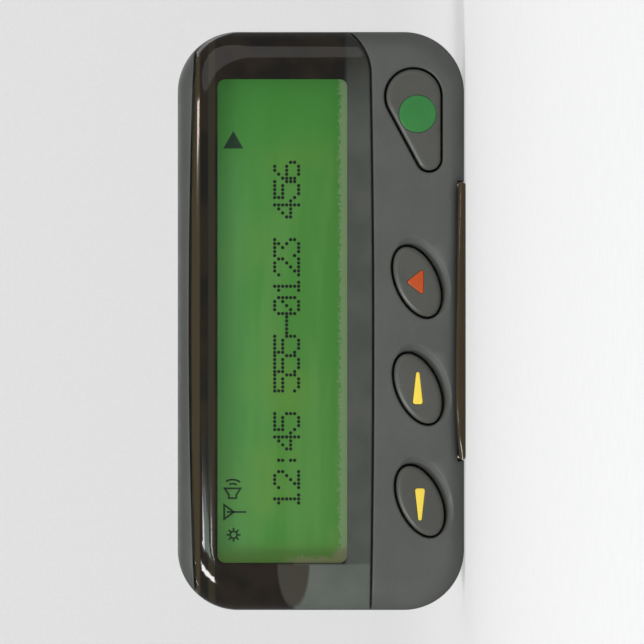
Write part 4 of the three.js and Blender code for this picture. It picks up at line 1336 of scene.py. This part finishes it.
def build_battery_spring():
    """Conical coil from a seat plate on the bay's wall to the cell's flat end."""
    half = SEAT_SIZE / 2
    outline = rounded(CELL_Y - half[0], CELL_Y + half[0], CELL_Z - half[1], CELL_Z + half[1], 0.8)
    seat = side_plate("seat", outline, SEAT_X, SEAT_X + SEAT_THICK, 0.1)
    t = np.linspace(0, 1, 160)
    start, end = SEAT_X + SEAT_THICK + 0.26, CELL_X - CELL_HALF - 0.3
    r = 3.6 - 2.1 * t
    a = 2 * math.pi * 3.2 * t
    path = np.column_stack([start + (end - start) * t, CELL_Y + r * np.cos(a), CELL_Z + r * np.sin(a)])
    return join_pieces(tube_mesh("coil_contact", path, 0.28), seat)


def build_clip_spring():
    """Torsion spring: four turns round the pin and two straight legs."""
    t = np.linspace(0, 1, 200)
    a = -math.pi / 2 - 2 * math.pi * 4 * t
    wound = np.column_stack(
        [-2.4 + 4.8 * t, PIVOT_Y + COIL_RADIUS * np.cos(a), PIVOT_Z + COIL_RADIUS * np.sin(a)]
    )
    leg = np.linspace((-2.4, PLATE_BACK + 0.45, PIVOT_Z - COIL_RADIUS), wound[0], 8)[:-1]
    free = np.linspace(wound[-1], (2.4, PIVOT_Y + 2.2, PIVOT_Z - COIL_RADIUS), 8)[1:]
    return tube_mesh("torsion_spring", np.vstack([leg, wound, free]), SPRING_WIRE)


# ------------------------------------------------------------------ belt holder


# The holder is a strip bent round the pager. s runs along its outer side from the lip's foot:
# negative up the lip, positive along the tray and up the back plate.
FRONT_ARC = FRONT_BEND * math.pi / 2
REAR_ARC = REAR_BEND * math.pi / 2
TRAY_START = FRONT_ARC
TRAY_END = TRAY_START + (PLATE_BACK - REAR_BEND) - (LIP_FRONT + FRONT_BEND)
PLATE_START = TRAY_END + REAR_ARC


def plate_s(z):
    """Where along the strip the back plate reaches height z."""
    return PLATE_START + z - (TRAY_UNDER + REAR_BEND)


def lip_s(z):
    return TRAY_UNDER + FRONT_BEND - z


def bend(points):
    """Flat x, depth inwards and s carried to x, y and z."""
    x, depth, s = points.T
    front = np.clip(s / FRONT_ARC, 0, 1) * math.pi / 2
    rear = np.clip((s - TRAY_END) / REAR_ARC, 0, 1) * math.pi / 2
    y = np.where(s < TRAY_START, LIP_FRONT + FRONT_BEND - FRONT_BEND * np.cos(front), 0)
    z = np.where(s < TRAY_START, TRAY_UNDER + FRONT_BEND - FRONT_BEND * np.sin(front), TRAY_UNDER)
    z = np.where(s < 0, lip_s(s), z)
    y = np.where((s >= TRAY_START) & (s < TRAY_END), LIP_FRONT + FRONT_BEND + s - TRAY_START, y)
    y = np.where(s >= TRAY_END, PLATE_BACK - REAR_BEND + REAR_BEND * np.sin(rear), y)
    z = np.where(s >= TRAY_END, TRAY_UNDER + REAR_BEND - REAR_BEND * np.cos(rear), z)
    z = np.where(s >= PLATE_START, TRAY_UNDER + REAR_BEND + s - PLATE_START, z)
    way_y = np.where(s < TRAY_START, np.cos(front), -np.sin(rear))
    way_z = np.where(s < TRAY_START, np.sin(front), np.cos(rear))
    return np.column_stack([x, y + depth * way_y, z + depth * way_z])


def lip_edge(x):
    """Height of the lip's upper edge."""
    right = np.clip((x - LIP_CREST) / (HOLDER_HALF - LIP_CREST), 0, 1)
    left = np.clip((LIP_CREST - x) / (HOLDER_HALF + LIP_CREST), 0, 1)
    z = LIP_TOP - (LIP_TOP - LIP_END) * right * right * (1.5 - 0.5 * right)
    return z - (LIP_TOP + 0.2) * left**2.4


def holder_outline():
    x = np.linspace(-HOLDER_HALF, HOLDER_HALF, 90)
    s = lip_s(lip_edge(x))
    corner = plate_s(PLATE_TOP) - PLATE_CORNER
    inner = HOLDER_HALF - PLATE_CORNER
    lip = np.column_stack([x, s])
    right = line((HOLDER_HALF, s[-1] + 0.3), (HOLDER_HALF, corner), 0.8)
    top_right = arc(inner, corner, PLATE_CORNER, 0, 1)
    top = line((inner, corner + PLATE_CORNER), (-inner, corner + PLATE_CORNER), 0.8)
    top_left = arc(-inner, corner, PLATE_CORNER, 1, 2)
    left = line((-HOLDER_HALF, corner), (-HOLDER_HALF, s[0] + 0.3), 0.8)
    return np.vstack([lip, right, top_right, top, top_left, left])


def build_holder():
    outline = holder_outline()
    edge = 0.42
    smooth = 0.5

    def thickness(s):
        front = np.clip(s / FRONT_ARC, 0, 1)
        rear = np.clip((s - TRAY_END) / REAR_ARC, 0, 1)
        lip = LIP_THICK + (TRAY_THICK - LIP_THICK) * front
        return lip + (PLATE_THICK - TRAY_THICK) * rear

    def rise(x, s, half, low, top, height):
        """A raised pad with soft edges."""
        away = box_distance(x, s, -half, half, plate_s(low), plate_s(top), 0.6)
        return height * np.clip(-away / smooth, 0, 1)

    def outer(x, s):
        rim = quarter_round(np.maximum(-distance_to(outline, x, s), 0), edge, edge)
        return rim - rise(x, s, PAD_HALF, PAD_LOW, PAD_TOP, PAD_RISE)

    def inner(x, s):
        rim = quarter_round(np.maximum(-distance_to(outline, x, s), 0), edge, edge)
        return thickness(s) - np.minimum(rim, thickness(s) / 2 - 0.02) + rise(
            x, s, RIB_HALF, RIB_LOW, RIB_TOP, PLATE_BACK - PLATE_THICK - RIB_FRONT
        )

    plan = Plan()
    for inset in [0.0, *ring_steps(edge, 7)[1:]]:
        plan.add(offset(outline, -inset))
    for s in np.concatenate([np.linspace(0, FRONT_ARC, 9), np.linspace(TRAY_END, PLATE_START, 11)]):
        plan.add(line((-HOLDER_HALF + 0.45, s), (HOLDER_HALF - 0.45, s), 1.0), closed=False)
    for half, low, top in ((PAD_HALF, PAD_LOW, PAD_TOP), (RIB_HALF, RIB_LOW, RIB_TOP)):
        for inset in (0.0, smooth):
            low_s, top_s = plate_s(low) + inset, plate_s(top) - inset
            plan.add(rounded(-half + inset, half - inset, low_s, top_s, 0.62 - inset, 1.5))
    plan.scatter(
        -20, 20, 0, plate_s(PLATE_TOP), 1.6, lambda x, s: distance_to(outline, x, s) < -0.9
    )

    def keep(x, s):
        return distance_to(outline, x, s) < 0

    return plate_mesh("holder_shell", plan, keep, outer, inner, place=bend)


def along_x(points):
    """A plan drawn in y and z, with its heights along X."""
    return np.column_stack([points[:, 1], points[:, 0], points[:, 2]])


def side_plate(name, outline, x0, x1, edge, hole=None, pocket=None):
    """A solid along X from x0 to x1 with a y, z outline and rounded edges. It may have a pin hole,
    and a pocket sunk into both its sides round the pin, given as radius and depth."""
    plan = Plan()
    if pocket:
        plan.add(arc(PIVOT_Y, PIVOT_Z, pocket[0], 0, 4, 0.25))
        plan.add(arc(PIVOT_Y, PIVOT_Z, pocket[0] - STEEP, 0, 4, 0.25))
    for inset in ring_steps(edge, 6):
        plan.add(offset(outline, -inset))
    if hole:
        plan.add(arc(PIVOT_Y, PIVOT_Z, hole, 0, 4, 0.2))
        plan.add(arc(PIVOT_Y, PIVOT_Z, hole + 0.15, 0, 4, 0.2))

    def keep(y, z):
        solid = distance_to(outline, y, z) < 0
        return solid & (np.hypot(y - PIVOT_Y, z - PIVOT_Z) > hole) if hole else solid

    def drop(y, z):
        rim = quarter_round(np.maximum(-distance_to(outline, y, z), 0), edge, edge)
        if hole:
            rim = rim + rim_drop(np.hypot(y - PIVOT_Y, z - PIVOT_Z) - hole, 0.15)
        if pocket:
            sunk = np.hypot(y - PIVOT_Y, z - PIVOT_Z) < pocket[0] - STEEP / 2
            rim = np.where(sunk, np.maximum(rim, pocket[1]), rim)
        return rim

    def left(y, z):
        return x0 + drop(y, z)

    def right(y, z):
        return x1 - drop(y, z)

    return plate_mesh(name, plan, keep, left, right, place=along_x)


def join_pieces(first, *others):
    """One mesh out of several closed solids."""
    verts, faces = [], []
    for obj in (first, *others):
        start = len(verts)
        verts += [v.co[:] for v in obj.data.vertices]
        faces += [[start + i for i in p.vertices] for p in obj.data.polygons]
    mesh = bpy.data.meshes.new(first.data.name)
    mesh.from_pydata(verts, [], faces)
    mesh.shade_smooth()
    mesh.set_sharp_from_angle(angle=math.radians(40))
    first.data = mesh
    for obj in others:
        bpy.data.objects.remove(obj)
    return first


ear_outline = np.vstack(
    [
        arc(PIVOT_Y, PIVOT_Z, EAR_RADIUS, -1, 1, 0.25),
        [(PIVOT_Y, PIVOT_Z + EAR_RADIUS), (PLATE_BACK - 0.3, PIVOT_Z + EAR_RADIUS + 1.2)],
        [(PLATE_BACK - 0.3, PIVOT_Z - EAR_RADIUS - 1.2)],
    ]
)
ears = [
    side_plate(f"ear_{i}", ear_outline, x0, x0 + EAR_OUTER - EAR_INNER, 0.35, hole=PIN + 0.06)
    for i, x0 in enumerate((-EAR_OUTER, EAR_INNER))
]
stand_for(join_pieces(build_holder(), *ears), "holder", "holder_plastic", holder_plastic, "holster")

# ------------------------------------------------------------------ belt clip


def rounded_corners(points, radius, count=6):
    """A closed polygon with every corner rounded."""
    points = np.array(points, float)
    made = []
    for i, corner in enumerate(points):
        before, after = points[i - 1] - corner, points[(i + 1) % len(points)] - corner
        reach = min(radius, 0.45 * np.linalg.norm(before), 0.45 * np.linalg.norm(after))
        a = corner + reach * before / np.linalg.norm(before)
        b = corner + reach * after / np.linalg.norm(after)
        made.append(bezier(a, corner, b, count))
    return np.vstack(made)


def refined(loop, spacing):
    """A closed loop with no gap between points wider than spacing."""
    return np.vstack([line(a, b, spacing) for a, b in zip(loop, np.roll(loop, -1, 0))])


def build_clip():
    tip = PLATE_BACK + 0.5
    web = PIVOT_Y + 2.7
    pad_low, pad_high = (CLIP_OUTER + 0.2, PIVOT_Z + 3), (CLIP_PAD_BACK, CLIP_TOP - 0.8)
    along = np.subtract(pad_high, pad_low)
    notches = []
    for share in NOTCH_SHARES:
        for step, deep in ((-NOTCH_HALF, 0), (0, NOTCH_DEPTH), (NOTCH_HALF, 0)):
            notches.append(tuple(pad_low + along * (share + step) - (deep, 0)))
    profile = [
        (CLIP_INNER, CLIP_LOW + 5.5), (PLATE_BACK + 1.3, CLIP_LOW + 1.4), (tip, CLIP_LOW + 0.5),
        (tip, CLIP_LOW), (PLATE_BACK + 1.4, CLIP_LOW), (CLIP_OUTER, CLIP_LOW + 5),
        (CLIP_OUTER + 0.2, PIVOT_Z - 6), pad_low, *notches, pad_high,
        (CLIP_PAD_BACK, CLIP_TOP), (CLIP_PAD_BACK - 1.2, CLIP_TOP), (CLIP_INNER + 0.3, PIVOT_Z + 4.2),
        (web, PIVOT_Z + 3.2), (web, PIVOT_Z - 3.2), (CLIP_INNER, PIVOT_Z - 4.2),
    ]
    outline = refined(rounded_corners(profile, 0.9), 0.8)
    ear_room = (EAR_RADIUS + EAR_ROOM, CLIP_HALF - BARREL_HALF)
    lever = side_plate("clip_lever", outline, -CLIP_HALF, CLIP_HALF, CLIP_EDGE, pocket=ear_room)
    cheek = [
        arc(PIVOT_Y, PIVOT_Z, BARREL, 1, 3, 0.2),
        [(PIVOT_Y, PIVOT_Z - BARREL), (CLIP_OUTER - 0.3, PIVOT_Z - 2.9)],
        [(CLIP_OUTER - 0.3, PIVOT_Z + 2.9), (PIVOT_Y, PIVOT_Z + BARREL)],
    ]
    cheek = np.vstack(cheek)
    cheeks = [
        side_plate("cheek", cheek, x0, x0 + BARREL_HALF - SPRING_ROOM, 0.2, hole=PIN + 0.06)
        for x0 in (-BARREL_HALF, SPRING_ROOM)
    ]
    return join_pieces(lever, *cheeks)


stand_for(build_clip(), "clip", "clip_plastic", clip_plastic, "belt_clip")
pin_profile = rounded_profile(-EAR_OUTER - 0.5, EAR_OUTER + 0.5, PIN, 0.3)
pivot_pin = lathe_mesh("pivot_pin", pin_profile, PIVOT_Y, PIVOT_Z, 40)
stand_for(pivot_pin, "holder", "steel", bright_steel, "clip_pin")
stand_for(build_clip_spring(), "holder", "spring_steel", spring_steel, "clip_spring")
stand_for(build_battery(), "pager", "cell_jacket", cell_jacket(), "battery")
stand_for(build_battery_spring(), "pager", "spring_steel", spring_steel, "battery_spring")

# ------------------------------------------------------------------ finishes of the pieces inside


def board_finish():
    """Green solder mask with fine copper tracks showing through."""
    made, tree, shader, place = new_material("board_finish")
    split = add(tree, "SeparateXYZ", Vector=place)
    lines = []
    for axis, width in (("X", 1.3), ("Z", 0.9)):
        scaled = add(tree, "Math", {"operation": "MULTIPLY"}, _0=split.outputs[axis], _1=1 / (width * MM))
        wave = add(tree, "Math", {"operation": "PINGPONG"}, _0=scaled.outputs[0], _1=0.5).outputs[0]
        lines.append(between(tree, wave, 0.36, 0.42, 0, 1))
    patch = between(tree, noise(tree, place, 6.0, 1.0), 0.5, 0.52, 0, 1)
    tracks = mix(tree, patch, lines[0], lines[1])
    tracked = mix(tree, tracks, colour(24, 84, 48), colour(46, 112, 60))
    tree.links.new(tracked, shader.inputs["Base Color"])
    shader.inputs["Roughness"].default_value = 0.32
    return made


chip_plastic = moulded("chip_plastic", colour(28, 28, 29), 0.45, grain=0.15)
brass_finish = metal("brass_finish", (0.72, 0.52, 0.24, 1), 0.3)
tin_finish = metal("tin_finish", (0.66, 0.67, 0.68, 1), 0.35)
light_guide = moulded("light_guide", colour(196, 220, 170), 0.3, depth=0.0)
dark_frame = moulded("dark_frame", colour(26, 26, 24), 0.6)
finishes = {
    housing_plastic: ["front_housing", "rear_housing", "battery_door"],
    dark_frame: ["lcd_frame", "window_gasket", "display_window"],
    light_guide: ["backlight_panel"],
    grey_silicone: ["keypad_membrane", "contact_strip_lower", "contact_strip_upper"],
    spring_steel: [f"snap_dome_{k}" for k in key_outlines] + ["battery_spring", "clip_spring"],
    board_finish(): ["main_board"],
    tin_finish: ["rf_shield", "crystal_can", "motor_bracket", "battery_contact"],
    chip_plastic: ["processor", "memory_chip"],
    brass_finish: ["loop_antenna", "motor_weight"],
    black_plastic: ["buzzer", "battery", "belt_clip", "holster"],
    bright_steel: ["vibration_motor", "clip_pin"] + [f"housing_screw_{i}" for i in range(1, 5)],
    key_plastic: [f"key_{k}" for k in key_outlines],
    yellow_ink: ["mark_left", "mark_right"],
    red_ink: ["mark_select"],
    green_ink: ["mark_read"],
}
for finish, names in finishes.items():
    for node in names:
        nodes[node].data.materials.clear()
        nodes[node].data.materials.append(finish)

# ------------------------------------------------------------------ stage, camera and lights

AIM = ((-0.15) * MM, (FRONT + SHIFT_Y) * MM, at_height(21.13))


def build_studio():
    """A round floor that curves up into a wall, so there is no horizon."""
    quarter = [0.5 * math.pi * i / 16 for i in range(17)]
    profile = [(FLOOR_RADIUS * i / 6, 0.0) for i in range(6)]
    profile += [(FLOOR_RADIUS + COVE_RADIUS * math.sin(a), COVE_RADIUS * (1 - math.cos(a))) for a in quarter]
    profile.append((FLOOR_RADIUS + COVE_RADIUS, WALL_TOP))
    sides = 96
    turns = [(math.cos(2 * math.pi * k / sides), math.sin(2 * math.pi * k / sides)) for k in range(sides)]
    verts = [(0.0, 0.0, -0.00001)] + [(r * c, r * s, z - 0.00001) for r, z in profile[1:] for c, s in turns]
    faces = [(0, 1 + k, 1 + (k + 1) % sides) for k in range(sides)]
    for ring in range(len(profile) - 2):
        low = 1 + ring * sides
        for k in range(sides):
            j = (k + 1) % sides
            faces.append((low + k, low + sides + k, low + sides + j, low + j))
    mesh = bpy.data.meshes.new("studio_floor")
    mesh.from_pydata(verts, [], faces)
    mesh.shade_smooth()
    obj = bpy.data.objects.new("studio_floor", mesh)
    bpy.context.scene.collection.objects.link(obj)
    made, tree, shader, place = new_material("studio_paper")
    fibre = noise(tree, place, 2.0, 3.0)
    pale = between(tree, fibre, 0.3, 0.7, 0, 1)
    tree.links.new(mix(tree, pale, (0.50, 0.50, 0.50, 1), (0.53, 0.53, 0.53, 1)), shader.inputs["Base Color"])
    shader.inputs["Emission Color"].default_value = (1, 1, 1, 1)
    shader.inputs["Emission Strength"].default_value = PAPER_GLOW
    shader.inputs["Roughness"].default_value = 0.9
    shader.inputs["Specular IOR Level"].default_value = 0.1
    mesh.materials.append(made)
    # The paper stays out of reflections and casts no shadow, as if it were far away.
    obj.visible_glossy = False
    obj.visible_shadow = False


def area_light(name, place, target, size, power, tint=(1, 1, 1)):
    data = bpy.data.lights.new(name, "AREA")
    data.shape = "RECTANGLE"
    data.size, data.size_y = size
    data.energy = power
    data.color = tint
    light = bpy.data.objects.new(name, data)
    light.location = place
    aim = Vector(target) - Vector(place)
    light.rotation_euler = aim.to_track_quat("-Z", "Y").to_euler()
    light.visible_camera = False
    bpy.context.scene.collection.objects.link(light)
    return light


def build_camera():
    data = bpy.data.cameras.new("camera")
    data.lens = LENS_LENGTH
    data.sensor_width = SENSOR
    data.clip_start = 0.05
    data.clip_end = 10
    camera = bpy.data.objects.new("camera", data)
    place = Vector(AIM) - Vector((0, CAMERA_AWAY, 0))
    # The pager's left-hand end is at the bottom of the picture and its base is to the right.
    axes = Matrix(((0, 1, 0), (0, 0, -1), (-1, 0, 0))).to_4x4()
    camera.matrix_world = Matrix.Translation(place) @ axes
    bpy.context.scene.collection.objects.link(camera)
    bpy.context.scene.camera = camera


build_studio()
build_camera()


def sun_light(name, from_way, strength, spread, tint=(1, 1, 1)):
    data = bpy.data.lights.new(name, "SUN")
    data.energy = strength
    data.angle = math.radians(spread)
    data.color = tint
    light = bpy.data.objects.new(name, data)
    light.rotation_euler = (-Vector(from_way)).to_track_quat("-Z", "Y").to_euler()
    bpy.context.scene.collection.objects.link(light)
    return light


main_light = sun_light("main_light", (-0.45, -0.62, 0.64), 0.5, 40)
main_light.visible_glossy = False
# Name, place, size, power and tint. The bars make the streaks along the window's upper bevel.
SOFT_BOXES = [
    ("main_strip", (-0.36, -0.5, 0.51), (0.12, 0.4), 2.1, (1, 1, 1)),
    ("window_bar_upper", (-0.077, -0.493, 0.40), (0.044, 0.085), 0.13, (1, 1, 1)),
    ("window_bar_lower", (-0.0725, -0.606, 0.107), (0.034, 0.012), 0.013, (1, 1, 1)),
    ("window_glow", (-0.080, -0.569, 0.268), (0.055, 0.2), 0.09, (0.75, 1.0, 0.92)),
    ("overhead_strip", (0.063, -0.324, 0.561), (0.026, 0.075), 0.074, (1.0, 0.85, 0.8)),
]
for name, place, size, power, tint in SOFT_BOXES:
    area_light(name, place, LIT_POINT, size, power, tint)
sun_light("fill_light", (0.6, -0.7, 0.4), 0.36, 60)
sun_light("rear_light", (0.3, 0.8, 0.5), 0.6, 60)
world = bpy.data.worlds.new("studio_air")
world.use_nodes = True
world.node_tree.nodes["Background"].inputs["Color"].default_value = (0.95, 0.97, 1.0, 1)
world.node_tree.nodes["Background"].inputs["Strength"].default_value = 0.12
bpy.context.scene.world = world
bpy.context.scene.view_settings.view_transform = "Standard"
